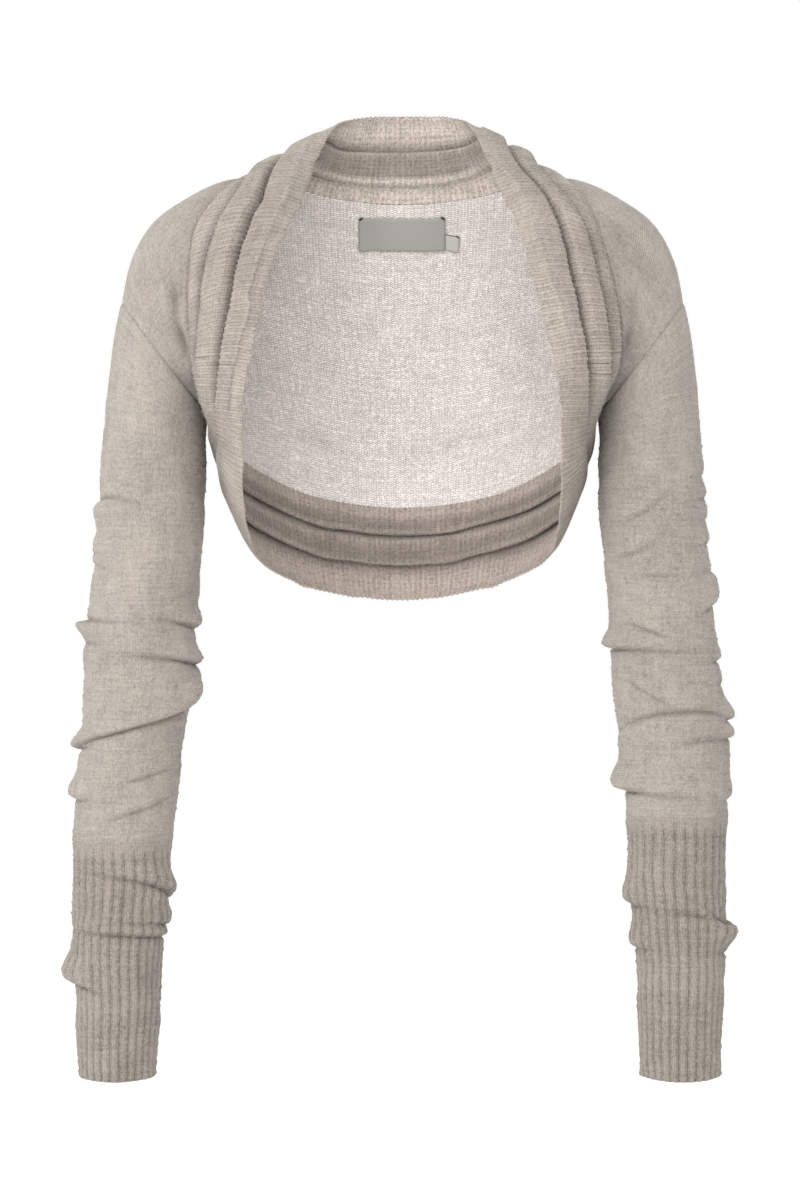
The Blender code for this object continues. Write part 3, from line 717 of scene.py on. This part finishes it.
def shell(name, points, normals, uv, materials, slot, loop=False, wall=WALL):
    """A thin closed body round a grid of middle points in millimetres, with rounded edges. The uv grid counts
    stitches or ribs and holds the masks for painted shade in folds (see with_shade_masks). It has one more
    column than the points where the grid is a loop."""
    rows, columns = points.shape[:2]
    index = np.arange(rows * columns).reshape(rows, columns)
    if loop:
        index = np.append(index, index[:, :1], axis=1)
        rims = [(index[0], uv[0]), (index[-1], uv[-1])]
    else:
        walk = np.concatenate([index[0, :-1], index[:-1, -1], index[-1, :0:-1], index[::-1, 0]])
        rims = [(walk, uv.reshape(-1, 5)[walk])]
    verts = [(points + normals * side * wall / 2).reshape(-1, 3) for side in (1, -1)]
    faces, face_uv, kinds = [], [], []
    for kind in (0, 1):
        faces.append(cell_corners(index) + kind * rows * columns)
        face_uv.append(cell_corners(uv)[..., [0, 1, 2, 3 + kind]])
        kinds.append(np.full(len(faces[-1]), kind))
    flat, out = points.reshape(-1, 3), border_out(points, loop)
    for rim, rim_uv in rims:
        count = len(rim) - 1
        edge = sum(len(v) for v in verts) + np.append(np.arange(count), 0)
        verts.append(flat[rim[:-1]] + out[rim[:-1]] * wall * 0.45)
        for start in (0, rows * columns):
            faces.append(np.stack([rim[:-1] + start, rim[1:] + start, edge[1:], edge[:-1]], axis=1))
            face_uv.append(np.stack([rim_uv[:-1], rim_uv[1:], rim_uv[1:], rim_uv[:-1]], axis=1)[..., :4])
            kinds.append(np.zeros(count, int))
    data = bpy.data.meshes.new(name)
    data.from_pydata((np.concatenate(verts) * MM).tolist(), [], np.concatenate(faces).tolist())
    data.polygons.foreach_set("material_index", np.concatenate(kinds).astype(np.int32))
    spots = np.concatenate(face_uv).reshape(-1, 4).astype(np.float32)
    # The folds map holds the masks for painted shade.
    for map_name, part in (("stitches", spots[:, :2]), ("folds", spots[:, 2:])):
        data.uv_layers.new(name=map_name).data.foreach_set("uv", part.ravel())
    mesh = bmesh.new()
    mesh.from_mesh(data)
    bmesh.ops.recalc_face_normals(mesh, faces=mesh.faces)
    mesh.to_mesh(data)
    mesh.free()
    return place(name, data, materials, slot)


def with_shade_masks(uv, layers=0.0, valley=0.0):
    """Adds to a uv grid the masks for painted shade: how far each point is under other layers and how near
    the foot of a crease, as seen from outside and from inside."""
    valley = np.asarray(valley, float)
    if valley.ndim < 3:
        valley = np.stack([np.broadcast_to(valley, uv.shape[:2])] * 2, axis=-1)
    layers = np.broadcast_to(layers, uv.shape[:2])[..., None]
    return np.concatenate([uv, layers, valley], axis=-1)


def measured_uv(points, across, down):
    """Counts columns and rows of stitches over a panel, from its mean lengths along the grid."""
    u = np.append(0, np.cumsum(lengths(points, axis=1).mean(axis=0))) / across
    v = np.append(0, np.cumsum(lengths(points).mean(axis=1))) / down
    return np.stack(np.broadcast_arrays(u[None, :], v[:, None]), axis=-1)


def fuzz(name, layers, seed, material):
    """Loose fibres that stand off the cloth: thin curved ribbons over the given (points, normals) grids."""
    rng = np.random.default_rng(seed)
    roots, outs, runs = [], [], []
    for points, normals in layers:
        run, fall = points[:-1, 1:] - points[:-1, :-1], points[1:, :-1] - points[:-1, :-1]
        areas = np.linalg.norm(np.cross(run, fall), axis=-1)
        count = int(areas.sum() / 100 * FIBRE["per_cm2"])
        cell = rng.choice(areas.size, count, p=(areas / areas.sum()).ravel())
        i, j = np.unravel_index(cell, areas.shape)
        s, t = rng.random((2, count, 1))
        roots.append(points[i, j] + run[i, j] * s + fall[i, j] * t + normals[i, j] * 0.1)
        outs.append(normals[i, j])
        runs.append(unit(run[i, j]))
    root, out, run = (np.concatenate(v) for v in (roots, outs, runs))
    count = len(root)
    angle = rng.random((count, 1)) * 2 * math.pi
    ahead = run * np.cos(angle) + np.cross(out, run) * np.sin(angle)
    sideways = np.cross(out, ahead)
    length = FIBRE["length"] * rng.uniform(0.5, 1.4, (count, 1))
    lift = FIBRE["lift"] * rng.uniform(0.2, 1.0, (count, 1)) ** 2
    curl = length * rng.uniform(-0.5, 0.5, (count, 1))
    rings = []
    for share, width in ((0, 1), (0.55, 0.8), (1, 0)):
        centre = root + ahead * length * share + sideways * curl * share**2
        centre = centre + out * lift * math.sin(share * 2.4)
        half = unit(sideways + out * 0.4) * FIBRE["width"] / 2 * width
        rings += [centre - half, centre + half] if width else [centre]
    verts = np.stack(rings, axis=1)
    first = (np.arange(count) * verts.shape[1])[:, None]
    quads, tips = first + [0, 1, 3, 2], first + [2, 3, 4]
    data = bpy.data.meshes.new(name)
    data.from_pydata((verts.reshape(-1, 3) * MM).tolist(), [], quads.tolist() + tips.tolist())
    place(name, data, [material], "panel")


def thread(name, paths, radius, material, slot):
    """Strands of thread: a round tube along each path of points, in millimetres."""
    mesh = bmesh.new()
    for path in paths:
        count = len(path)
        path = curve(np.arange(count), path, np.linspace(0, count - 1, 4 * count))
        run = unit(np.gradient(path, axis=0))
        one = unit(np.cross(run, [0.2, 0.3, 1.0]))
        rings = []
        for point, a, b in zip(path, one, np.cross(run, one)):
            spokes = [a * math.cos(t) + b * math.sin(t) for t in np.radians(ring_degrees(6))]
            rings.append([mesh.verts.new(Vector(point + spoke * radius) * MM) for spoke in spokes])
        for low, high in zip(rings, rings[1:]):
            for k in range(6):
                mesh.faces.new([low[k], low[(k + 1) % 6], high[(k + 1) % 6], high[k]])
        mesh.faces.new(rings[0][::-1])
        mesh.faces.new(rings[-1])
    bmesh.ops.recalc_face_normals(mesh, faces=mesh.faces)
    data = bpy.data.meshes.new(name)
    mesh.to_mesh(data)
    mesh.free()
    place(name, data, [material], slot)


def shades(red, green, blue, spread):
    """A darker and a lighter shade of a colour."""
    return [(*(np.array([red, green, blue]) * share), 1) for share in (1 - spread, 1 + spread)]


# Colours of the yarn in linear light, each with how much darker and lighter it gets. The inside tones are
# painted light: the same yarn made lighter, standing in for light that comes through the thin cloth from
# behind.
TONES = {
    "panel": shades(0.35, 0.313, 0.277, 0.34),
    "panel_inside_lit": shades(0.85, 0.796, 0.753, 0.26),
    "band": shades(0.375, 0.33, 0.29, 0.38),
    "band_inside_lit": shades(0.64, 0.56, 0.50, 0.36),
    "hem_inside_lit": shades(0.48, 0.405, 0.358, 0.36),
    "cuff": shades(0.250, 0.222, 0.194, 0.38),
    "fibre": shades(0.52, 0.475, 0.43, 0.15),
    "label": shades(0.285, 0.283, 0.260, 0.14),
    "tab": shades(0.42, 0.405, 0.375, 0.12),
    "thread": shades(0.012, 0.012, 0.012, 0.4),
    # eyelet: near black, painted shade for the holes
    "eyelet": shades(0.035, 0.028, 0.024, 0.3),
}
# The dark brown painted in as shade at the foot of creases and where the band lies in three layers.
PAINTED_SHADE_TONE = (0.10, 0.082, 0.068, 1)
THROUGH = 0.1  # the share of light that the cloth lets through
WANDER = 0.3  # stitches by which the yarn wanders
RIDGE_MEAN = 0.64  # the mean height of a rib's ridge, which is 1 at its top


class Graph:
    """A material's node graph, built with a short call for each node."""

    def __init__(self, name):
        self.material = bpy.data.materials.new(name)
        self.material.use_nodes = True
        self.tree = self.material.node_tree
        self.tree.nodes.clear()

    def node(self, kind, inputs=(), **settings):
        made = self.tree.nodes.new(kind)
        for key, value in settings.items():
            setattr(made, key, value)
        for key, value in dict(inputs).items():
            if isinstance(value, bpy.types.NodeSocket):
                self.tree.links.new(value, made.inputs[key])
            else:
                made.inputs[key].default_value = value
        return made

    def math(self, operation, *values):
        return self.node("ShaderNodeMath", dict(enumerate(values)), operation=operation).outputs[0]

    def mix(self, share, dark, light):
        sockets = {"Factor": share, 6: dark, 7: light}
        return self.node("ShaderNodeMix", sockets, data_type="RGBA", clamp_factor=True).outputs[2]

    def noise(self, scale, detail=2.0, stretch=None):
        place = self.node("ShaderNodeTexCoord").outputs["Object"]
        if stretch:
            place = self.node("ShaderNodeMapping", {"Vector": place, "Scale": stretch}).outputs[0]
        sockets = {"Vector": place, "Scale": scale, "Detail": detail, "Roughness": 0.55}
        return self.node("ShaderNodeTexNoise", sockets).outputs["Fac"]

    def uv(self, name):
        found = self.node("ShaderNodeUVMap", uv_map=name).outputs[0]
        return self.node("ShaderNodeSeparateXYZ", {0: found}).outputs

    def stitches(self, wander):
        """The count of columns and of rows at a point, pushed about a little as in hand-feel yarn."""
        counts = self.uv("stitches")
        slow = self.math("MULTIPLY_ADD", self.noise(55, 1.0), 2 * wander, -wander)
        quick = self.math("MULTIPLY_ADD", self.noise(420, 1.0), 1.2 * wander, -0.6 * wander)
        both = self.math("ADD", slow, quick)
        return self.math("ADD", counts[0], both), self.math("ADD", counts[1], both)

    def streaks(self, u, v, along_u, along_v):
        """Noise drawn out along the columns: some columns darker or lighter for a part of their length."""
        place = self.node("ShaderNodeCombineXYZ", {0: u, 1: v}).outputs[0]
        place = self.node("ShaderNodeMapping", {"Vector": place, "Scale": (along_u, along_v, 1)}).outputs[0]
        return self.node("ShaderNodeTexNoise", {"Vector": place, "Scale": 1.0, "Detail": 1.0}).outputs["Fac"]

    def total(self, *terms, start=0.0):
        """A start value plus each socket times its weight."""
        result = start
        for socket, weight in terms:
            result = self.math("MULTIPLY_ADD", socket, weight, result)
        return result

    def wave(self, at):
        """Between 0 and 1, once for each whole number, highest at the whole numbers."""
        cosine = self.math("COSINE", self.math("MULTIPLY", at, 2 * math.pi))
        return self.math("MULTIPLY_ADD", cosine, 0.5, 0.5)

    def bump(self, strength, distance, height):
        sockets = {"Strength": strength, "Distance": distance, "Height": height}
        return self.node("ShaderNodeBump", sockets).outputs[0]

    def shader(self, **inputs):
        named = {key.replace("_", " "): value for key, value in inputs.items()}
        return self.node("ShaderNodeBsdfPrincipled", named).outputs[0]

    def done(self, shader):
        self.node("ShaderNodeOutputMaterial", {"Surface": shader})
        return self.material


def knit_height(graph, style):
    """How high the yarn stands at a point, from 0 to 1, for one of three kinds of knit."""
    u, v = graph.stitches(WANDER)
    if style == "purl":
        offset = graph.math("MULTIPLY", graph.wave(graph.math("MULTIPLY", u, 0.5)), 0.5)
        loops = graph.wave(graph.math("ADD", v, offset))
        return graph.math("MULTIPLY", loops, graph.math("MULTIPLY_ADD", graph.wave(u), 0.65, 0.35))
    if style == "rib":
        u = graph.math("MULTIPLY", u, 2.0)
    from_middle = graph.math("ABSOLUTE", graph.math("MULTIPLY_ADD", graph.math("FRACT", u), 2.0, -1.0))
    legs = graph.math("ABSOLUTE", graph.math("SINE", graph.math("MULTIPLY", u, 2 * math.pi)))
    slanted = graph.wave(graph.math("MULTIPLY_ADD", from_middle, -0.6, v))
    legs = graph.math("POWER", legs, 0.7)
    return graph.math("MULTIPLY", legs, graph.math("MULTIPLY_ADD", slanted, 0.6, 0.4))


def cloth_material(
    name, style, tone, grain_and_groove_shade, stitch=0.4, crease=0.6, layer_shade=0.0,
    rib=0.0, rib_shade=0.0, rib_fade=0.0, fine_rib=0.0,
):
    """Brushed knit: stitches in relief (mm), streaks along the columns, clouds of thick and thin yarn, nap,
    painted shade in the grooves between stitches and ribs, and painted shade at the foot of a crease and
    where it lies in three layers (weighted by crease and layer_shade)."""
    graph = Graph(name)
    height = knit_height(graph, style)
    u, v = graph.stitches(WANDER / 2)
    half_rib = graph.wave(graph.math("MULTIPLY", u, 2.0))
    ridge = graph.math("POWER", graph.wave(u), 0.4)
    if rib_fade:
        span = {"Value": graph.uv("stitches")[1], "From Max": rib_fade}
        faded = graph.node("ShaderNodeMapRange", span).outputs[0]
        ridge = graph.math("MULTIPLY_ADD", graph.math("SUBTRACT", ridge, RIDGE_MEAN), faded, RIDGE_MEAN)
        ridge = graph.math("MULTIPLY_ADD", graph.math("SUBTRACT", 1.0, faded), 0.6, ridge)
    nap = graph.noise(1300, 2.0)
    lumps = graph.noise(520, 1.0)
    clouds = graph.math("ADD", graph.noise(18, 2.0), graph.math("MULTIPLY", graph.noise(75, 2.0), 0.8))
    knotty = (lumps, 0.4 * min(grain_and_groove_shade, 1.0))
    relief = graph.total((height, stitch), (nap, 0.25), knotty, (ridge, rib), (half_rib, fine_rib))
    bump = graph.bump(1.0, 0.001, relief)
    # What lightens or darkens the yarn, by how much, and its mean: height, ridge and half_rib paint shade
    # into the grooves between stitches and ribs, while nap, lumps, streaks and clouds make the yarn's tone
    # uneven.
    tints = [
        (height, 1.2 * grain_and_groove_shade, 0.45),
        (nap, 0.7, 0.5),
        (lumps, 1.8 * grain_and_groove_shade, 0.5),
        (graph.streaks(u, v, 0.75, 0.06), 0.7 * grain_and_groove_shade, 0.5),
        (graph.streaks(u, v, 0.07, 0.8), 0.9 * grain_and_groove_shade, 0.5),
        (clouds, 0.6, 0.9),
        (ridge, rib_shade, RIDGE_MEAN),
        (half_rib, fine_rib, 0.5),
    ]
    start = 0.5 - sum(weight * mean for _, weight, mean in tints)
    colour = graph.mix(graph.total(*(tint[:2] for tint in tints), start=start), *tone)
    # Painted shade: the folds map's masks for three layers and for the foot of a crease darken the colour
    # towards the shade tone.
    folds = graph.uv("folds")
    colour = graph.mix(graph.total((folds[0], layer_shade), (folds[1], crease)), colour, PAINTED_SHADE_TONE)
    shader = graph.shader(
        Base_Color=colour,
        Roughness=0.92,
        Specular_IOR_Level=0.15,
        Sheen_Weight=0.22,
        Sheen_Roughness=0.45,
        Sheen_Tint=(1.0, 0.96, 0.92, 1),
        Normal=bump,
    )
    lit = graph.node("ShaderNodeBsdfTranslucent", {"Color": colour, "Normal": bump}).outputs[0]
    return graph.done(graph.node("ShaderNodeMixShader", {0: THROUGH, 1: shader, 2: lit}).outputs[0])


def satin_material(name, tone):
    """Woven satin for the label: fine weft lines across, a soft gleam."""
    graph = Graph(name)
    weft = graph.noise(900, 2.0, stretch=(0.12, 1.0, 2.4))
    warp = graph.noise(1800, 1.0, stretch=(1.6, 1.0, 0.15))
    weave = graph.math("ADD", graph.math("MULTIPLY", weft, 0.6), graph.math("MULTIPLY", warp, 0.4))
    wear = graph.math("MULTIPLY", graph.noise(60, 2.0), 0.3)
    colour = graph.mix(graph.math("ADD", graph.math("MULTIPLY", weave, 0.7), wear), *tone)
    rough, bump = graph.math("MULTIPLY_ADD", weave, 0.2, 0.38), graph.bump(0.25, 0.0002, weave)
    return graph.done(graph.shader(Base_Color=colour, Roughness=rough, Sheen_Weight=0.1, Normal=bump))


def fibre_material(name, tone):
    """Single fibres and threads, a little lighter and darker from place to place."""
    graph = Graph(name)
    colour = graph.mix(graph.noise(300, 2.0), *tone)
    shader = graph.shader(Base_Color=colour, Roughness=0.8, Specular_IOR_Level=0.2, Sheen_Weight=0.3)
    return graph.done(shader)


# The stitches at the label's top corners: how far in each starts, and how high it ends (mm).
TACKS = [(-0.4, 0.5), (0.6, 0.9), (1.5, 1.1)]
TACK = {"long": 1.6, "radius": 0.42}  # mm
TAB_SLOPE = 0.2  # how far the size tab slants down, as a share of the way across it
# How far label and tab keep straight over the cloth's ripples (a share), stand out at the middle of
# their lower edge and ripple, and how uneven their edges are (mm).
PATCH = {"straight": 0.6, "sag": 0.7, "ripple": 0.3, "edge": 0.35}
# Rows of eyelets near the joint: side, station, and from where to where, outwards from the middle (mm).
EYELET_ROWS = [
    ("right", 7.8, 143, 155),
    ("right", 8.0, 122, 142),
    ("left", 8.0, 138, 152),
    ("left", 8.2, 139, 154),
    ("left", 7.7, 155, 165),
]
EYELET = {"step": 1.65, "long": 0.45, "radius": 0.38}  # mm


def seam_shade(points):
    """How much darker the cloth is close below the seam at the top of a sleeve."""
    away = np.cumsum(lengths(points), axis=0)
    return 0.5 * np.exp(-((np.concatenate([0 * away[:1], away]) / 1.6) ** 2))


def rib_stations(first, last):
    """Stations from first to last, evenly apart along the middle of the band, some to each rib."""
    at = np.linspace(first, last, 800)
    seam, edge, _ = band_rails("right", at)
    middle = (seam + edge) / 2
    count = round(lengths(middle).sum() / BAND_RIB) * SECTIONS_A_RIB
    return np.interp(np.linspace(0, 1, count + 1), length_along(middle), at)


def beside_rib(station):
    """The nearest station that lies between two ribs of the collar or hem half."""
    own = rib_stations(0, JOINT) if station <= JOINT else rib_stations(JOINT, LAST_STATION)
    k = int(np.abs(own - station).argmin())
    return own[min(k - k % SECTIONS_A_RIB + 1, len(own) - 2)]


def make_cloth(node, points, normals, uv, materials, slot, loop=False):
    """The visible sheet of cloth for a solid, and the grid it was made from."""
    piece = shell(f"{node}_knit", points, normals, uv, materials, slot, loop)
    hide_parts(node)
    return piece, (points, normals)


def make_band(node, first, last, materials):
    """Collar or hem half of the band, on both sides of the middle of the garment's back."""
    stations = rib_stations(first, last)
    halves = zip(*(band_strip(side, stations) for side in SIDES))
    if first == 0:
        whole = [np.concatenate([right[:0:-1], left]) for right, left in halves]
    else:
        whole = [np.concatenate([right[:-1], left[::-1]]) for right, left in halves]
    points, normals, layers, valley_shades = whole
    ribs = np.arange(len(points)) / SECTIONS_A_RIB
    uv = measured_uv(points, COURSE, BAND_RIB)[..., ::-1]
    uv[..., 0] = ribs[:, None]
    wave = np.cos(2 * math.pi * ribs)[:, None, None]
    points = points + normals * SCALLOP * wave
    to_edge = unit(points[:, -1:] - points[:, -3:-2])
    strength = 0.6 + 0.5 * waver(ribs, 3.7, 5)[:, None, None]
    points[:, -len(EDGE_SCALLOP) :] += to_edge * wave * strength * np.array(EDGE_SCALLOP)[None, :, None]
    points = seam_dip(points, normals, ends=(0.5, 0.5), sides=(0.5, 0))
    return make_cloth(node, points, normals, with_shade_masks(uv, layers, valley_shades), materials, "rib")


def make_panel(node, points, normals, creases, dips, materials):
    """Back or front panel: stitches counted over the plain form, then its creases and seams."""
    uv = measured_uv(points, WALE, COURSE)
    inward = -1 if node == "back" else 1
    points, dark = crease_panel(points, normals * inward, creases)
    points = seam_dip(points, normals, **dips)
    return make_cloth(node, points, normals, with_shade_masks(uv, valley=dark), materials, "panel")


def make_back(materials):
    halves = []
    for side in SIDES:
        points = refined(back_half(side), *PANEL_GRID["back"])
        halves.append((points, outward(grid_normals(points), [0, 1, 0])))
    points, normals = (np.concatenate([right[:, :0:-1], left], axis=1) for right, left in zip(*halves))
    dips = {"ends": (0.3, 0.3), "sides": (0.6, 0.6)}
    return make_panel("back", points, normals, BACK_CREASES, dips, materials)


def make_front(side, materials):
    points = refined(front_half(side), *PANEL_GRID["front"])
    normals = outward(grid_normals(points), [0, -1, 0])
    dips = {"ends": (0.4, 0), "sides": (0.4, 0.6)}
    return make_panel(f"front_{side}", points, normals, FRONT_CREASES, dips, materials)


def ring_heights(start, end):
    return np.linspace(start, end, int((start - end) / ARM_STEP) + 1)


def make_tube(node, points, normals, around, dark, materials, slot, dips=(0, 0)):
    """Sleeve or cuff: a tube whose stitches or ribs are counted by how many go round."""
    closed = np.append(points, points[:, :1], axis=1)
    uv = measured_uv(closed, 1.0, COURSE)
    uv[..., 0] = np.linspace(0, around, closed.shape[1])
    points = seam_dip(points, normals, ends=dips)
    if any(dips):
        dark = np.maximum(dark, seam_shade(points))
    spots = with_shade_masks(uv, valley=np.append(dark, dark[:, :1], axis=1))
    return make_cloth(node, points, normals, spots, materials, slot, loop=True)


def make_sleeve(side, materials):
    degrees = ring_degrees(WALES_ROUND_SLEEVE)
    fan = np.linspace(ARMHOLE["z"], SLEEVE_TOP, 40)
    heights = np.append(fan, ring_heights(SLEEVE_TOP, RIB_START[side])[1:])
    points, radial, dark = tube_rings(side, heights, degrees)
    points[0] = armhole_loop(side, degrees)
    normals = outward(grid_normals(points, loop=True), radial)
    normals[0] = near_underarm(armhole_normal(side, degrees), radial[0], degrees)
    normals[-1] = radial[-1]
    around = WALES_ROUND_SLEEVE
    return make_tube(f"sleeve_{side}", points, normals, around, dark, materials, "panel", dips=(0.6, 0))


def make_cuff(side, materials):
    """Rib cuff: the whole wall follows the ribs, broad ridges with narrow furrows between them."""
    around = RIBS_ROUND_CUFF * POINTS_A_RIB
    degrees = ring_degrees(around)
    heights = ring_heights(RIB_START[side], CUFF_END)
    points, radial, dark = tube_rings(side, heights, degrees)
    ridge = 0.5 + 0.5 * np.cos(2 * math.pi * np.arange(around) / POINTS_A_RIB)
    ridge = ridge ** RIB_SHAPE["round"] - RIB_SHAPE["level"]
    down, left = RIB_START[side] - heights, heights - CUFF_END
    grows = np.clip(down / RIB_FADE, 0, 1) ** 1.5
    rim = np.clip((left - CUFF_RIM["ribs_from"]) / -CUFF_RIM["ribs_from"], 0, 1)
    closes = 1 + CUFF_RIM["ribs"] * rim
    points = points + radial * (RIB_HEIGHT * ridge[None, :, None] * (grows * closes)[:, None, None])
    sway = CUFF_RIM["sway"] * np.clip(1 - left / CUFF_RIM["sway_from"], 0, 1)
    points[..., 2] += sway[:, None] * np.cos(np.radians(2 * degrees))
    normals = outward(grid_normals(points, loop=True), radial)
    normals[0] = radial[0]
    return make_tube(f"cuff_{side}", points, normals, RIBS_ROUND_CUFF, dark, materials, "rib")


def make_patch(node, size, cloth, material, columns, rows, slope=0.0):
    """A woven tab on the inside of the back: it lies on the cloth and lifts a little between its stitches."""
    tree = BVHTree.FromObject(cloth, bpy.context.evaluated_depsgraph_get())
    xs, zs = np.linspace(*size["x"], columns), np.linspace(*size["z"], rows)
    points = np.zeros((rows, columns, 3))
    for i, z in enumerate(zs):
        for j, x in enumerate(xs):
            hit = tree.ray_cast(Vector((x, -100, z)) * MM, Vector((0, 1, 0)))[0]
            points[i, j] = (x, hit.y / MM, z)
    straight, own = PATCH["straight"], 1 - PATCH["straight"]
    points[..., 1] = points[..., 1].min(axis=1, keepdims=True) * straight + points[..., 1] * own
    across, up = np.linspace(0, 1, columns)[None], np.linspace(0, 1, rows)[:, None]
    sag = PATCH["sag"] * np.sin(math.pi * across) * (1 - up) + PATCH["ripple"] * waver(across * 30, 17, 2)
    points[..., 1] -= size["off"] + size["thick"] / 2 + sag
    points[..., 2] += PATCH["edge"] * waver(across * 60, 41, 5) - slope * (points[..., 0] - xs[0])
    normals = np.zeros_like(points)
    normals[..., 1] = -1
    spots = with_shade_masks(measured_uv(points, 1.0, 1.0))
    piece = shell(f"{node}_satin", points, normals, spots, [material] * 2, "label", wall=size["thick"])
    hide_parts(node)
    return points


def label_threads(label, tab, material):
    """The label is tacked down at its top corners, and one thread with a knot holds the size tab."""
    top = label[label[:, 0, 2].argmax()]
    tacks = []
    for corner, inward in ((top[0], 1), (top[-1], -1)):
        for start, end in TACKS:
            low = corner + [inward * start, -0.8, -0.9]
            high = corner + [inward * (start + TACK["long"]), -0.6, end]
            tacks.append([low, (low + high) / 2 + [0, -0.35, 0], high])
    first, last = tab[-1, 0], tab[-1, -1]
    tacks.append([last + [-2.4, -1.1, 0.6], last + [-0.9, -1.2, 0.2], last + [0.7, -1.0, -0.2]])
    middle = (first + last) / 2 + [0, -0.9, 0.4]
    strand = [first + [-0.6, -0.9, 0.6], middle, last + [-0.8, -0.9, 0.2]]
    thread("label_threads", tacks, TACK["radius"], material, "label")
    thread("size_tab_thread", [strand], TACK["radius"] / 2, material, "label")


def eyelets(side):
    """Short rows of small holes across the band, near the joint between its two halves: short dark strands
    whose colour is painted shade for the holes.
    """
    paths = []
    for _, station, start, end in (row for row in EYELET_ROWS if row[0] == side):
        points, normals, _, _ = band_strip(side, [beside_rib(station)])
        line, share = points[0], length_along(points[0])
        at = np.arange(0.02, 0.98, EYELET["step"] / lengths(line).sum())
        spots, out = curve(share, line, at), unit(curve(share, normals[0], at))
        ahead = unit(np.gradient(spots, axis=0)) * EYELET["long"] / 2
        for spot, away, step in zip(spots, out, ahead):
            if start < abs(spot[0]) < end and away[1] < -0.4:
                raised = spot + away * (WALL / 2 - SCALLOP / 2 + 0.1)
                paths.append([raised - step, raised + step])
    return paths


def stage_and_light():
    """A plain pale floor well below the cuffs, a white surround and soft light from the front left."""
    mesh = bmesh.new()
    bmesh.ops.create_grid(mesh, x_segments=1, y_segments=1, size=9)
    data = bpy.data.meshes.new("floor")
    mesh.to_mesh(data)
    mesh.free()
    graph = Graph("pale_floor")
    tint = graph.mix(graph.noise(3, 2.0), *FLOOR_TONES)
    glow = {"Emission_Color": WHITE, "Emission_Strength": 0.08}
    data.materials.append(graph.done(graph.shader(Base_Color=tint, Roughness=0.95, **glow)))
    floor = link("floor", data, (0, 0, FLOOR_Z))
    scene = bpy.context.scene
    scene.view_settings.view_transform = "Standard"
    scene.world = bpy.data.worlds.new("studio")
    scene.world.use_nodes = True
    background = scene.world.node_tree.nodes["Background"]
    background.inputs["Color"].default_value = WHITE
    background.inputs["Strength"].default_value = 1.0
    for name, spot, size, energy in LAMPS:
        data = bpy.data.lights.new(name, "AREA")
        data.size, data.energy = size, energy
        lamp = link(name, data, spot)
        lamp.rotation_euler = (Vector(LAMPS_AIM) - lamp.location).to_track_quat("-Z", "Y").to_euler()
    data = bpy.data.cameras.new("camera")
    data.lens, data.sensor_width = CAMERA["lens"], 36
    scene.camera = link("camera", data, CAMERA["spot"])
    scene.camera.rotation_euler = (math.radians(90), 0, 0)


def main():
    knit = {"rib": 0.5, "rib_shade": 0.6, "fine_rib": 0.25, "layer_shade": 0.6}
    panel = cloth_material("panel_knit", "stockinette", TONES["panel"], 0.6)
    # The inside faces take lighter tones, painted light for light coming through the thin cloth.
    purl_lit_tone = TONES["panel_inside_lit"]
    panel_inside_lit = cloth_material("panel_knit_inside_lit", "purl", purl_lit_tone, 2.2, stitch=0.6, crease=0.25)
    outside = {"rib": 0.3, "rib_shade": 0.25, "fine_rib": 0.4, "layer_shade": 0.15, "crease": 0.9}
    band = cloth_material("band_knit", "rib", TONES["band"], 0.6, **outside)
    band_inside_lit = cloth_material("band_knit_inside_lit", "rib", TONES["band_inside_lit"], 1.4, crease=0.3, **knit)
    hem_inside_lit = cloth_material("hem_knit_inside_lit", "rib", TONES["hem_inside_lit"], 1.3, crease=0.2, **knit)
    cuff = cloth_material("cuff_knit", "rib", TONES["cuff"], 0.55, rib=0.2, rib_shade=0.6, rib_fade=9.0)
    fibre = fibre_material("fibre", TONES["fibre"])
    satin = satin_material("label_satin", TONES["label"])
    black = fibre_material("black_thread", TONES["thread"])
    hole_shade = fibre_material("eyelet_shade", TONES["eyelet"])

    back, back_shape = make_back([panel, panel_inside_lit])
    _, collar_shape = make_band("collar_band", 0, JOINT, [band, band_inside_lit])
    _, hem_shape = make_band("hem_band", JOINT, LAST_STATION, [band, hem_inside_lit])
    shapes = {
        name: [shape, (shape[0], -shape[1])]
        for name, shape in (("back", back_shape), ("collar", collar_shape), ("hem", hem_shape))
    }
    for side in SIDES:
        shapes[f"front_{side}"] = [make_front(side, [panel, panel])[1]]
        shapes[f"sleeve_{side}"] = [make_sleeve(side, [panel, panel])[1]]
        shapes[f"cuff_{side}"] = [make_cuff(side, [cuff, cuff])[1]]
        thread(f"eyelets_{side}", eyelets(side), EYELET["radius"], hole_shade, "rib")
    for seed, (name, layers) in enumerate(shapes.items()):
        fuzz(f"{name}_fuzz", [(p + n * WALL / 2, n) for p, n in layers], seed + 1, fibre)

    label = make_patch("label", LABEL, back, satin, 41, 15)
    tab_satin = satin_material("size_tab_satin", TONES["tab"])
    tab = make_patch("size_tab", SIZE_TAB, back, tab_satin, 9, 9, TAB_SLOPE)
    label_threads(label, tab, black)

    stage_and_light()
    bpy.context.view_layer.update()


main()
